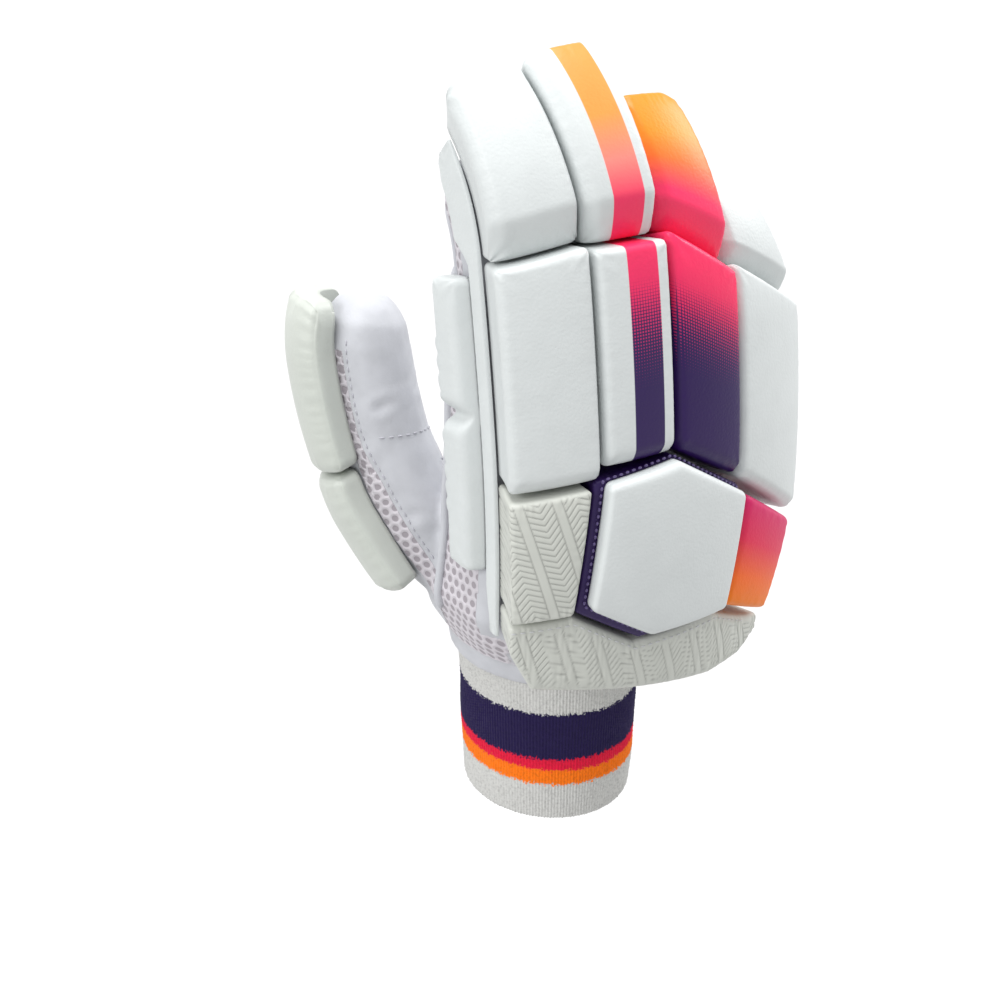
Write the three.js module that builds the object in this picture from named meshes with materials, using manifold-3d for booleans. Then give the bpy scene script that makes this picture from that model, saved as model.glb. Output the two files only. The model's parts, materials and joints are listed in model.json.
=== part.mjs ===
// A right-hand cricket batting glove, worn upright: back of the hand to -Y, fingers up, thumb to -X.
import * as THREE from 'three';
import { mergeVertices } from 'three/addons/utils/BufferGeometryUtils.js';
import Module from 'manifold-3d';

const wasm = await Module();
wasm.setup();

// Driving dimensions, in millimetres.
const GLOVE_LENGTH = 256; // up the back, from the cuff's rim to the middle fingertip
const FACE_WIDTH = 120; // round the outer faces of the four finger rolls
const PAD_HEIGHT = 20; // a finger roll, off the glove's back
const PAD_GAP = 0.9; // the groove between two rolls
const PAD_ROUND = 4; // a roll's rounded edge
const PAD_CROWN = 1.2; // a roll's face swells by this
const BACK_RADIUS = 115; // how the knuckles arch across the hand
const HAND_OFFSET = 6; // the hand's middle lies this far to the little finger's side of the cuff
const BACK_SETBACK = 37; // the glove's back, in front of the cuff's middle
const PALM_THICKNESS = 38; // back to palm at the knuckles
const STALL_DEPTH = 26; // a finger's stall, back to palm
const STALL_GAP = 2.2; // between two fingers' stalls
const TIP_OVERHANG = 11; // the rolls reach this far past the stall's end
const LEATHER_WALL = 2;
const CLEARANCE = 0.35; // between two pieces that are sewn or glued together

const CUFF_WIDTH = 62;
const CUFF_DEPTH = 68;
const CUFF_HEIGHT = 60;
const CUFF_RIM = 0.93; // the rim, as a share of the cuff's width at its top
const CUFF_WALL = 3;
const CUFF_LAP = 4; // the cuff's top stands this far inside the hand

const THUMB_LENGTH = 118;
const THUMB_WIDTH = 29;
const THUMB_PAD_HEIGHT = 11;
const THUMB_START = new THREE.Vector3(-34.5, 14, 67);
const THUMB_UP = new THREE.Vector3(-0.2, 0.29, 0.935).normalize();
const THUMB_OUT = new THREE.Vector3(-0.84, 0.54, 0);

const BAR_THICKNESS = 8.2;
const WELT_THICKNESS = 1.8;
const GUARD_HEIGHT = 17;
const PLATE_HEIGHT = 23;
const BACKING_HEIGHT = 17;
const STRAP_WIDTH = 30;
const STRAP_THICKNESS = 2.4;
const TAB_THICKNESS = 2;
const TAB_LAP = 1.5; // the tab stands this far past the strap, up and down
const STRAP_LOW = 12;

// The back leans away from the viewer as it rises: level is a share of GLOVE_LENGTH, lean in degrees.
const BACK_LEAN = [
  { level: 0.16, lean: -5 },
  { level: 0.35, lean: -2 },
  { level: 0.59, lean: 6 },
  { level: 0.8, lean: 9 },
  { level: 1.2, lean: 12 },
];
const CURL = 210; // degrees that a finger curls in a whole GLOVE_LENGTH past its joint

// Sides are shares of FACE_WIDTH from the groove between middle and ring finger. Levels are
// shares of GLOVE_LENGTH: the knuckle line, the joint line (left and right end) and the tip.
const FINGERS = [
  { name: 'index', left: -0.467, right: -0.214, tipLeft: -0.466, tipRight: -0.256, knuckle: [0.546, 0.544], joint: [0.803, 0.815], tip: 1.003 },
  { name: 'middle', left: -0.214, right: 0.008, tipLeft: -0.252, tipRight: -0.04, knuckle: [0.555, 0.557], joint: [0.811, 0.811], tip: 1.006 },
  { name: 'ring', left: 0.008, right: 0.248, tipLeft: -0.012, tipRight: 0.19, knuckle: [0.557, 0.499], joint: [0.809, 0.755], tip: 0.94 },
  { name: 'little', left: 0.248, right: 0.585, tipLeft: 0.218, tipRight: 0.4, knuckle: [0.495, 0.396], joint: [0.752, 0.685], tip: 0.842 },
];

// The pads over the knuckles, by their lower and upper edge: [share of FACE_WIDTH, share of GLOVE_LENGTH].
const INDEX_KNUCKLE = { lower: [[-0.467, 0.378], [-0.297, 0.381]], upper: [[-0.467, 0.54], [-0.247, 0.538]] };
const LITTLE_KNUCKLE = { lower: [[0.205, 0.331], [0.43, 0.281]], upper: [[0.28, 0.473], [0.56, 0.392]] };
const BACKING = {
  lower: [[-0.288, 0.381], [-0.09, 0.327], [0.196, 0.327]],
  upper: [[-0.236, 0.542], [0.008, 0.553], [0.262, 0.486]],
};
const PLATE = {
  lower: [[-0.259, 0.39], [-0.076, 0.338], [0.184, 0.336]],
  upper: [[-0.208, 0.541], [-0.002, 0.5515], [0.242, 0.4825]],
};
const GUARD = {
  lower: [[-0.462, 0.33], [-0.4, 0.277], [-0.1, 0.252], [0.2, 0.226], [0.34, 0.228], [0.425, 0.25]],
  upper: [[-0.467, 0.369], [-0.29, 0.372], [-0.1, 0.32], [0.19, 0.32], [0.33, 0.289], [0.43, 0.272]],
};

// The hand behind the pads: thick is a share of PALM_THICKNESS, the sides shares of FACE_WIDTH.
const HAND = [
  { level: 0.2, left: -0.45, right: 0.4, thick: 1.9 },
  { level: 0.3, left: -0.5, right: 0.46, thick: 1.55 },
  { level: 0.4, left: -0.465, right: 0.49, thick: 1.3 },
  { level: 0.5, left: -0.463, right: 0.5, thick: 1.12 },
  { level: 0.62, left: -0.463, right: 0.49, thick: 0.95 },
  { level: 0.8, left: -0.45, right: 0.48, thick: 0.72 },
];
const WEB_LEVEL = 0.703; // where the fingers part, at the hand's middle
const WEB_SLOPE = 0.22; // the web drops towards the little finger

// The thumb from its root to its tip: along is a share of THUMB_LENGTH, wide of THUMB_WIDTH.
const THUMB = [
  { along: 0, wide: 0.7 },
  { along: 0.2, wide: 1.12 },
  { along: 0.42, wide: 1.12 },
  { along: 0.62, wide: 1.06 },
  { along: 0.86, wide: 1.06 },
  { along: 0.97, wide: 0.98 },
  { along: 1.02, wide: 0.8 },
  { along: 1.05, wide: 0.45 },
];
const THUMB_TOP = 1.05; // the stall's top, as a share of THUMB_LENGTH
const THUMB_LEAN = [
  { level: 0, lean: -14 },
  { level: 0.4, lean: -10 },
  { level: 0.6, lean: 5 },
  { level: 0.85, lean: 12 },
  { level: 1, lean: 30 },
];
const THUMB_PADS = [
  { name: 'thumb_base_pad', from: 0.17, to: 0.54, half: 50 },
  { name: 'thumb_tip_pad', from: 0.552, to: 1.03, half: 56 },
];

const mix = (a, b, t) => a + (b - a) * t;
const clamp = (v, lo, hi) => Math.min(hi, Math.max(lo, v));
const smooth = (t) => { const c = clamp(t, 0, 1); return c * c * (3 - 2 * c); };

// The value of one column of a table at a place along it.
function lookUp(table, key, column, at) {
  if (at <= table[0][key]) return table[0][column];
  for (let i = 1; i < table.length; i++) {
    if (at <= table[i][key]) {
      const [a, b] = [table[i - 1], table[i]];
      return mix(a[column], b[column], (at - a[key]) / (b[key] - a[key]));
    }
  }
  return table[table.length - 1][column];
}

// A place on a line through evenly spaced [across, along] points.
function onLine(points, t) {
  const at = clamp(t, 0, 1) * (points.length - 1);
  const i = Math.min(Math.floor(at), points.length - 2);
  return [0, 1].map((k) => mix(points[i][k], points[i + 1][k], at - i));
}

// A curved strip of the glove. place(across, along, out) gives a point: across runs round the
// strip, along runs up it and out is the height off it. lean(along) turns it back, in degrees.
function makeStrip({ start, up, out, radius, faceRadius, from, lean }) {
  const side = new THREE.Vector3().crossVectors(up, out);
  const step = 1;
  const spine = [start.clone()];
  const angle = (along) => THREE.MathUtils.degToRad(lean(along));
  const along = (a) => new THREE.Vector3()
    .addScaledVector(up, Math.cos(angle(a))).addScaledVector(out, -Math.sin(angle(a)));
  for (let i = 0; i < 330; i++) {
    spine.push(spine[i].clone().addScaledVector(along(from + (i + 0.5) * step), step));
  }
  return (across, at, height) => {
    const k = clamp((at - from) / step, 0, spine.length - 1.001);
    const point = spine[Math.floor(k)].clone().lerp(spine[Math.floor(k) + 1], k % 1);
    const normal = new THREE.Vector3()
      .addScaledVector(out, Math.cos(angle(at))).addScaledVector(up, Math.sin(angle(at)));
    const turn = across / faceRadius;
    const reach = radius + Math.max(height, 0);
    point.addScaledVector(side, reach * Math.sin(turn));
    return point.addScaledVector(normal, reach * Math.cos(turn) - radius + Math.min(height, 0));
  };
}

// The back of the hand, and each finger's strip, which curls from its joint to its tip.
function backStrip(finger) {
  const joint = finger ? GLOVE_LENGTH * Math.min(...finger.joint) : Infinity;
  return makeStrip({
    start: new THREE.Vector3(HAND_OFFSET, -BACK_SETBACK, 0.16 * GLOVE_LENGTH),
    up: new THREE.Vector3(0, 0, 1),
    out: new THREE.Vector3(0, -1, 0),
    radius: BACK_RADIUS,
    faceRadius: BACK_RADIUS + PAD_HEIGHT,
    from: 0.16 * GLOVE_LENGTH,
    lean: (along) => {
      const base = lookUp(BACK_LEAN, 'level', 'lean', Math.min(along, joint) / GLOVE_LENGTH);
      return base + (CURL * Math.max(0, along - joint)) / GLOVE_LENGTH;
    },
  });
}
const back = backStrip(null);

const thumbStrip = makeStrip({
  start: THUMB_START,
  up: THUMB_UP,
  out: new THREE.Vector3().copy(THUMB_OUT).addScaledVector(THUMB_UP, -THUMB_OUT.dot(THUMB_UP)).normalize(),
  radius: THUMB_WIDTH / 2,
  faceRadius: THUMB_WIDTH / 2,
  from: 0,
  lean: (along) => lookUp(THUMB_LEAN, 'level', 'lean', along / THUMB_LENGTH),
});

// Closed meshes from rings and grids of points. A mesh wound inside out is turned.
function closedGeometry(points, faces) {
  let volume = 0;
  for (const [a, b, c] of faces) {
    volume += points[a].dot(new THREE.Vector3().crossVectors(points[b], points[c]));
  }
  const geometry = new THREE.BufferGeometry();
  geometry.setAttribute('position', new THREE.Float32BufferAttribute(points.flatMap((p) => p.toArray()), 3));
  geometry.setIndex(faces.flatMap((f) => (volume < 0 ? [f[0], f[2], f[1]] : f)));
  return mergeVertices(geometry, 1e-4);
}

// A pad: outer(a, b) is its face and inner(a, b) its foot, over the lines across and along it.
function pad(outer, inner, across, along) {
  const points = [];
  const faces = [];
  const wide = across.length;
  const high = along.length;
  for (const surface of [outer, inner]) {
    for (const b of along) for (const a of across) points.push(surface(a, b));
  }
  const at = (layer, i, j) => layer * wide * high + j * wide + i;
  const quad = (p, q, r, s) => faces.push([p, q, r], [p, r, s]);
  for (let j = 0; j + 1 < high; j++) {
    for (let i = 0; i + 1 < wide; i++) {
      quad(at(0, i, j), at(0, i + 1, j), at(0, i + 1, j + 1), at(0, i, j + 1));
      quad(at(1, i, j), at(1, i, j + 1), at(1, i + 1, j + 1), at(1, i + 1, j));
    }
  }
  for (let i = 0; i + 1 < wide; i++) {
    quad(at(1, i, 0), at(1, i + 1, 0), at(0, i + 1, 0), at(0, i, 0));
    quad(at(0, i, high - 1), at(0, i + 1, high - 1), at(1, i + 1, high - 1), at(1, i, high - 1));
  }
  for (let j = 0; j + 1 < high; j++) {
    quad(at(0, 0, j), at(0, 0, j + 1), at(1, 0, j + 1), at(1, 0, j));
    quad(at(0, wide - 1, j), at(1, wide - 1, j), at(1, wide - 1, j + 1), at(0, wide - 1, j + 1));
  }
  return closedGeometry(points, faces);
}

// A tube of rings. outer(t, f) and inner(t, f) are points round it and up it, f from 0 to 1.
// Its foot is open. Its top is closed, or open too; with no inner surface it is solid.
function tube(outer, inner, sides, levels, { openTop = false } = {}) {
  const points = [];
  const faces = [];
  const ring = (surface, f) => {
    const first = points.length;
    for (let i = 0; i < sides; i++) points.push(surface((2 * Math.PI * i) / sides, f));
    return first;
  };
  const band = (low, high) => {
    for (let i = 0; i < sides; i++) {
      const n = (i + 1) % sides;
      faces.push([low + i, low + n, high + n], [low + i, high + n, high + i]);
    }
  };
  const cap = (first, up) => {
    const middle = new THREE.Vector3();
    for (let i = 0; i < sides; i++) middle.addScaledVector(points[first + i], 1 / sides);
    points.push(middle);
    for (let i = 0; i < sides; i++) {
      const n = (i + 1) % sides;
      faces.push(up ? [first + i, first + n, points.length - 1] : [first + n, first + i, points.length - 1]);
    }
  };
  const outside = levels.map((f) => ring(outer, f));
  for (let k = 0; k + 1 < outside.length; k++) band(outside[k], outside[k + 1]);
  const last = outside[outside.length - 1];
  if (!inner) {
    cap(outside[0], false);
    cap(last, true);
    return closedGeometry(points, faces);
  }
  const inside = levels.map((f) => ring(inner, f));
  for (let k = 0; k + 1 < inside.length; k++) band(inside[k + 1], inside[k]);
  band(inside[0], outside[0]);
  if (openTop) {
    band(last, inside[inside.length - 1]);
  } else {
    cap(last, true);
    cap(inside[inside.length - 1], false);
  }
  return closedGeometry(points, faces);
}

function toSolid(geometry) {
  const merged = mergeVertices(geometry, 1e-4);
  return new wasm.Manifold(new wasm.Mesh({
    numProp: 3,
    vertProperties: new Float32Array(merged.attributes.position.array),
    triVerts: new Uint32Array(merged.index.array),
  }));
}

function toGeometry(solid) {
  const mesh = solid.getMesh();
  const geometry = new THREE.BufferGeometry();
  geometry.setAttribute('position', new THREE.BufferAttribute(new Float32Array(mesh.vertProperties), 3));
  geometry.setIndex(new THREE.BufferAttribute(new Uint32Array(mesh.triVerts), 1));
  return mergeVertices(geometry, 1e-3);
}

// Lines across a pad: two close to each edge for its rounding, and even ones between.
const LINE_STEP = 10;
function padLines(size, round) {
  const edge = clamp(round / size, 0.01, 0.45);
  const inner = Math.max(1, Math.ceil((size * (1 - 2 * edge)) / LINE_STEP));
  const lines = [0, edge * 0.3];
  for (let i = 0; i <= inner; i++) lines.push(mix(edge, 1 - edge, i / inner));
  return [...lines, 1 - edge * 0.3, 1];
}

// How far a rounded edge has fallen at a distance in from it.
const roundOff = (distance, round) => {
  const t = clamp(1 - distance / round, 0, 1);
  return round * (1 - Math.sqrt(1 - t * t * 0.96));
};

// A padded roll between two lines of [across, along] points, from foot to height off its strip.
function roll(place, { lower, upper, foot = CLEARANCE, height, round = PAD_ROUND, crown = PAD_CROWN }) {
  const width = Math.abs(lower[lower.length - 1][0] - lower[0][0]);
  const length = Math.abs(upper[0][1] - lower[0][1]);
  const point = (a, b) => {
    const low = onLine(lower, a);
    const high = onLine(upper, a);
    return [mix(low[0], high[0], b), mix(low[1], high[1], b)];
  };
  const fall = (a, b) => Math.max(
    roundOff(Math.min(a, 1 - a) * width, round),
    roundOff(Math.min(b, 1 - b) * length, round),
  );
  const face = (a, b) => {
    const [u, s] = point(a, b);
    const swell = crown * Math.sin(Math.PI * a) ** 0.6 * Math.sin(Math.PI * b) ** 0.6;
    return place(u, s, height - crown + (swell || 0) - fall(a, b));
  };
  const base = (a, b) => {
    const [u, s] = point(a, b);
    return place(u, s, foot);
  };
  const across = [...new Set([...padLines(width, round), ...lower.map((_, i) => i / (lower.length - 1))])];
  return pad(face, base, across.sort((p, q) => p - q), padLines(length, round));
}

const faceWidth = (share) => share * FACE_WIDTH;
const level = (share) => share * GLOVE_LENGTH;
const scaled = (points) => points.map(([across, along]) => [faceWidth(across), level(along)]);

// The four corners of a finger's middle roll, and of its tip roll.
function middleRoll(finger) {
  const half = PAD_GAP / 2;
  const [left, right] = [faceWidth(finger.left) + half, faceWidth(finger.right) - half];
  return roll(backStrip(finger), {
    lower: [[left, level(finger.knuckle[0]) + half], [right, level(finger.knuckle[1]) + half]],
    upper: [[left, level(finger.joint[0]) - half], [right, level(finger.joint[1]) - half]],
    height: PAD_HEIGHT,
  });
}

function tipRoll(finger) {
  const half = PAD_GAP / 2;
  const [left, right] = [faceWidth(finger.left) + half, faceWidth(finger.right) - half];
  return roll(backStrip(finger), {
    lower: [[left, level(finger.joint[0]) + half], [right, level(finger.joint[1]) + half]],
    upper: [[faceWidth(finger.tipLeft), level(finger.tip)], [faceWidth(finger.tipRight), level(finger.tip)]],
    height: PAD_HEIGHT - 1,
    round: PAD_ROUND * 1.25,
    crown: PAD_CROWN * 1.6,
  });
}

// The hand's section: a point round it at share f of its height, drawn in by inset.
const webLevel = (across) => level(WEB_LEVEL) - WEB_SLOPE * across;
const HAND_FOOT = CUFF_HEIGHT - CUFF_LAP;
const squared = (value, power) => Math.sign(value) * Math.abs(value) ** (2 / power);

function handPoint(t, f, inset) {
  const cuff = [CUFF_WIDTH / 2, CUFF_DEPTH / 2].map((r) => r + CLEARANCE + LEATHER_WALL - inset);
  const share = mix(HAND_FOOT, level(WEB_LEVEL), f) / GLOVE_LENGTH;
  const left = faceWidth(lookUp(HAND, 'level', 'left', share)) + inset;
  const right = faceWidth(lookUp(HAND, 'level', 'right', share)) - inset;
  const thick = PALM_THICKNESS * lookUp(HAND, 'level', 'thick', share) - 2 * inset;
  const power = Math.sin(t) > 0 ? 5 : 3.2; // squarer under the pads than on the palm
  const across = mix(left, right, (1 + squared(Math.cos(t), power)) / 2);
  const out = -inset - (thick / 2) * (1 - squared(Math.sin(t), power));
  const along = mix(HAND_FOOT, webLevel(across), f) - (f === 1 ? inset : 0);
  const spread = smooth((along - CUFF_HEIGHT) / (0.075 * GLOVE_LENGTH));
  const onCuff = new THREE.Vector3(cuff[0] * Math.cos(t), -cuff[1] * Math.sin(t), along);
  return onCuff.lerp(back(across, along, out), spread);
}

// A finger's stall below its rolls, from the web to short of the tip.
function stallPoint(finger, t, f, inset) {
  const strip = backStrip(finger);
  const gap = STALL_GAP / 2 + inset;
  const foot = Math.min(...finger.joint);
  const root = WEB_LEVEL - (WEB_SLOPE * faceWidth(finger.left)) / GLOVE_LENGTH;
  const rise = Math.max(0, (mix(root, finger.tip - TIP_OVERHANG / GLOVE_LENGTH, f) - foot) / (finger.tip - foot));
  const left = faceWidth(mix(Math.max(finger.left, HAND[5].left), finger.tipLeft, rise)) + gap;
  const right = faceWidth(mix(Math.min(finger.right, HAND[5].right), finger.tipRight, rise)) - gap;
  const taper = Math.sqrt(1 - (0.9 * Math.max(0, (f - 0.72) / 0.28)) ** 2);
  const middle = (left + right) / 2;
  const across = middle + ((right - left) / 2) * squared(Math.cos(t), 2.6) * taper;
  const depth = (STALL_DEPTH - 2 * inset) * (0.35 + 0.65 * taper);
  const out = -inset - CLEARANCE - (depth / 2) * (1 - squared(Math.sin(t), 2.6));
  const top = level(finger.tip) - TIP_OVERHANG - inset;
  return strip(across, mix(webLevel(across) + CLEARANCE, top, f), out);
}

const STALL_LEVELS = [0, 0.3, 0.55, 0.72, 0.86, 0.95, 1];
const stallSolid = (finger) => tube(
  (t, f) => stallPoint(finger, t, f, 0), (t, f) => stallPoint(finger, t, f, LEATHER_WALL), 18, STALL_LEVELS);
const fingerBore = (finger) => tube(
  (t, f) => stallPoint(finger, t, mix(-0.25, 0.3, f), LEATHER_WALL), null, 18, [0, 1]);

// The thumb: its stall is an oval tube under its pads.
function thumbPoint(t, f, inset, from = 0) {
  const share = mix(from, THUMB_TOP, f);
  const wide = (THUMB_WIDTH / 2) * lookUp(THUMB, 'along', 'wide', share) - inset;
  const centre = thumbStrip(0, share * (THUMB_LENGTH - inset), -THUMB_WIDTH / 2);
  const outer = thumbStrip(0, share * (THUMB_LENGTH - inset), 0);
  const out = outer.sub(centre).normalize();
  const side = new THREE.Vector3().crossVectors(THUMB_UP, out).normalize();
  return centre.addScaledVector(side, wide * Math.cos(t)).addScaledVector(out, wide * 0.95 * Math.sin(t));
}
const THUMB_LEVELS = [0, 0.14, 0.28, 0.42, 0.56, 0.7, 0.84, 0.93, 0.98, 1];

const HAND_LEVELS = [0, 0.05, 0.12, 0.2, 0.29, 0.4, 0.55, 0.7, 0.85, 0.97, 1];
const handFilled = (grow) => toSolid(tube((t, f) => handPoint(t, f, -grow), null, 32, HAND_LEVELS));

function handShell() {
  const hollow = toSolid(tube(
    (t, f) => handPoint(t, f, 0), (t, f) => handPoint(t, f, LEATHER_WALL), 32, HAND_LEVELS));
  const thumbBore = toSolid(tube((t, f) => thumbPoint(t, f, LEATHER_WALL), null, 18, THUMB_LEVELS));
  let shell = hollow.subtract(thumbBore);
  for (const finger of FINGERS) shell = shell.subtract(toSolid(fingerBore(finger)));
  return toGeometry(shell);
}

function thumbStall() {
  const stall = toSolid(tube(
    (t, f) => thumbPoint(t, f, 0), (t, f) => thumbPoint(t, f, LEATHER_WALL), 18, THUMB_LEVELS));
  return toGeometry(stall.subtract(handFilled(CLEARANCE)));
}

// A pad wrapped round the thumb's outer side. half is the angle that it covers to each side.
function thumbPad({ from, to, half }) {
  const length = (to - from) * THUMB_LENGTH;
  const reach = (a, b, height) => {
    const share = mix(from, to, b);
    const wide = (THUMB_WIDTH / 2) * Math.max(0.9, lookUp(THUMB, 'along', 'wide', Math.min(share, 0.86)));
    const angle = THREE.MathUtils.degToRad(mix(-half, half, a));
    const centre = thumbStrip(0, share * THUMB_LENGTH, -THUMB_WIDTH / 2);
    const out = thumbStrip(0, share * THUMB_LENGTH, 0).sub(centre).normalize();
    const side = new THREE.Vector3().crossVectors(THUMB_UP, out).normalize();
    return centre.addScaledVector(side, (wide + height) * Math.sin(angle))
      .addScaledVector(out, (wide + height) * Math.cos(angle));
  };
  const width = (THUMB_WIDTH * Math.PI * half) / 180;
  const fall = (a, b) => Math.max(
    roundOff(Math.min(a, 1 - a) * width, PAD_ROUND * 1.5), roundOff(Math.min(b, 1 - b) * length, PAD_ROUND));
  const solid = toSolid(pad(
    (a, b) => reach(a, b, THUMB_PAD_HEIGHT - fall(a, b)),
    (a, b) => reach(a, b, CLEARANCE),
    padLines(width, PAD_ROUND * 1.5), padLines(length, PAD_ROUND)));
  return toGeometry(solid.subtract(handFilled(CLEARANCE)));
}

// The index finger's side: a long padded welt at the rolls' edge, and the bar behind it.
const SIDE_LEFT = -0.467; // the rolls' left edge, a share of FACE_WIDTH
const NOTCH_AT = 0.55; // the bar's notch, as a share of its length

// The welt's width in shares of PAD_HEIGHT, by shares of its length: it is widest past the bar.
const WELT = [
  { up: 0, wide: 0.16 },
  { up: 0.1, wide: 0.28 },
  { up: 0.73, wide: 0.28 },
  { up: 0.79, wide: 0.62 },
  { up: 1, wide: 0.56 },
];
function sideBlock({ from, to, front, behind, inner, outer, round, notch = 0 }) {
  const finger = FINGERS[0];
  const strip = backStrip(finger);
  const length = level(to - from);
  const height = front - behind(0.5);
  const reach = (a, b, across) => strip(across, mix(level(from), level(to), b), mix(behind(b), front, a));
  const dip = (b) => notch * Math.exp(-(((b - NOTCH_AT) / 0.035) ** 2));
  const fall = (a, b) => Math.max(
    roundOff(Math.min(a, 1 - a) * height, round), roundOff(Math.min(b, 1 - b) * length, round), dip(b));
  return pad(
    (a, b) => reach(a, b, outer + fall(a, b)), (a, b) => reach(a, b, inner),
    padLines(height, round),
    [...padLines(length, round), NOTCH_AT - 0.04, NOTCH_AT, NOTCH_AT + 0.04].sort((p, q) => p - q));
}

const sideWelt = () => sideBlock({
  from: 0.32, to: 0.972, front: -CLEARANCE, behind: (b) => -PAD_HEIGHT * lookUp(WELT, 'up', 'wide', b),
  inner: faceWidth(HAND[2].left) - CLEARANCE, outer: faceWidth(HAND[2].left) - CLEARANCE - WELT_THICKNESS,
  round: WELT_THICKNESS * 0.6,
});
const sideBar = () => sideBlock({
  from: 0.402, to: 0.782, front: -PAD_HEIGHT * 0.32, behind: () => -PAD_HEIGHT * 0.9,
  inner: faceWidth(HAND[2].left) - 2 * CLEARANCE, outer: faceWidth(HAND[2].left) - 2 * CLEARANCE - BAR_THICKNESS,
  round: PAD_ROUND * 0.6, notch: BAR_THICKNESS * 0.6,
});

// A point on the cuff, at an angle from +X towards +Y. The cuff narrows towards its rim.
function cuffPoint(angle, z, out) {
  const narrow = mix(CUFF_RIM, 1, z / CUFF_HEIGHT);
  return new THREE.Vector3(
    ((CUFF_WIDTH / 2) * narrow + out) * Math.cos(angle), ((CUFF_DEPTH / 2) * narrow + out) * Math.sin(angle), z);
}

// The wrist strap: a band round the cuff's palm side, and its tab.
function cuffBand({ from, to, low, high, inner, thickness, slant = 0 }) {
  const point = (a, b, out) => {
    const angle = THREE.MathUtils.degToRad(mix(from, to, a));
    const z = mix(low, high, b) + slant * (b - 0.5) * (a < 0.5 ? 1 : -1);
    return cuffPoint(angle, z, out);
  };
  const steps = [...Array(13).keys()].map((i) => i / 12);
  return pad((a, b) => point(a, b, inner + thickness), (a, b) => point(a, b, inner), steps, [0, 0.5, 1]);
}
const strap = () => cuffBand({
  from: 8, to: 112, low: STRAP_LOW, high: STRAP_LOW + STRAP_WIDTH, inner: CLEARANCE, thickness: STRAP_THICKNESS,
});
const strapTab = () => cuffBand({
  from: 48, to: 108, low: STRAP_LOW - TAB_LAP, high: STRAP_LOW + STRAP_WIDTH + TAB_LAP,
  inner: 2 * CLEARANCE + STRAP_THICKNESS, thickness: TAB_THICKNESS,
});

function cuff() {
  const wall = (cut) => (t, f) => cuffPoint(t, f * CUFF_HEIGHT, -cut);
  return tube(wall(0), wall(CUFF_WALL), 40, [0, 1], { openTop: true });
}

const COLOURS = {
  white: 0xe9eeee, cream: 0xe1e8e1, emboss: 0xd6d9d2, purple: 0x3a2a64, mesh: 0xcdc8d2, palm: 0xd7d8de,
  pink: 0xf0386c, magenta: 0xd72369, knit: 0xe8e8ec,
};
const glove = new THREE.Group();
function add(name, geometry, colour, roughness = 0.5) {
  const flat = geometry.clone();
  flat.deleteAttribute('normal');
  const material = new THREE.MeshStandardMaterial({ color: colour, roughness, metalness: 0 });
  const mesh = new THREE.Mesh(flat, material);
  mesh.geometry.computeVertexNormals();
  mesh.name = name;
  glove.add(mesh);
}

add('cuff', cuff(), COLOURS.knit, 0.95);
add('strap', strap(), COLOURS.purple, 0.9);
add('strap_tab', strapTab(), COLOURS.white);
add('hand_shell', handShell(), COLOURS.palm, 0.7);
for (const finger of FINGERS) {
  add(`${finger.name}_stall`, stallSolid(finger), COLOURS.palm, 0.7);
  add(`${finger.name}_middle_roll`, middleRoll(finger), finger.name === 'ring' ? COLOURS.pink : COLOURS.white, 0.4);
  add(`${finger.name}_tip_roll`, tipRoll(finger), finger.name === 'ring' ? COLOURS.pink : COLOURS.white, 0.4);
}
const knuckle = (shape, height, foot) => roll(back, {
  lower: scaled(shape.lower), upper: scaled(shape.upper), height, foot, round: PAD_ROUND * 0.75,
});
add('index_knuckle_pad', knuckle(INDEX_KNUCKLE, PAD_HEIGHT), COLOURS.emboss, 0.6);
add('little_knuckle_pad', knuckle(LITTLE_KNUCKLE, PAD_HEIGHT), COLOURS.magenta, 0.4);
add('plate_backing', roll(back, {
  lower: scaled(BACKING.lower), upper: scaled(BACKING.upper), height: BACKING_HEIGHT, round: PAD_ROUND * 0.4, crown: 0,
}), COLOURS.purple, 0.6);
add('hexagon_plate', roll(back, {
  lower: scaled(PLATE.lower), upper: scaled(PLATE.upper),
  foot: BACKING_HEIGHT + CLEARANCE, height: PLATE_HEIGHT, round: PAD_ROUND * 0.6,
}), COLOURS.white, 0.4);
add('cuff_guard', roll(back, {
  lower: scaled(GUARD.lower), upper: scaled(GUARD.upper), height: GUARD_HEIGHT, round: PAD_ROUND * 0.75, crown: PAD_CROWN * 0.4,
}), COLOURS.emboss, 0.6);
add('side_welt', sideWelt(), COLOURS.white);
add('side_bar', sideBar(), COLOURS.white);
add('thumb_stall', thumbStall(), COLOURS.palm, 0.7);
for (const one of THUMB_PADS) add(one.name, thumbPad(one), COLOURS.cream, 0.4);

export default glove;
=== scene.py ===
"""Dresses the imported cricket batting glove: padded rolls, leather, net, knit and stitching."""

import json
import math
from collections import namedtuple

import bpy
import numpy as np
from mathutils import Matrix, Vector
from mathutils.bvhtree import BVHTree

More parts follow.
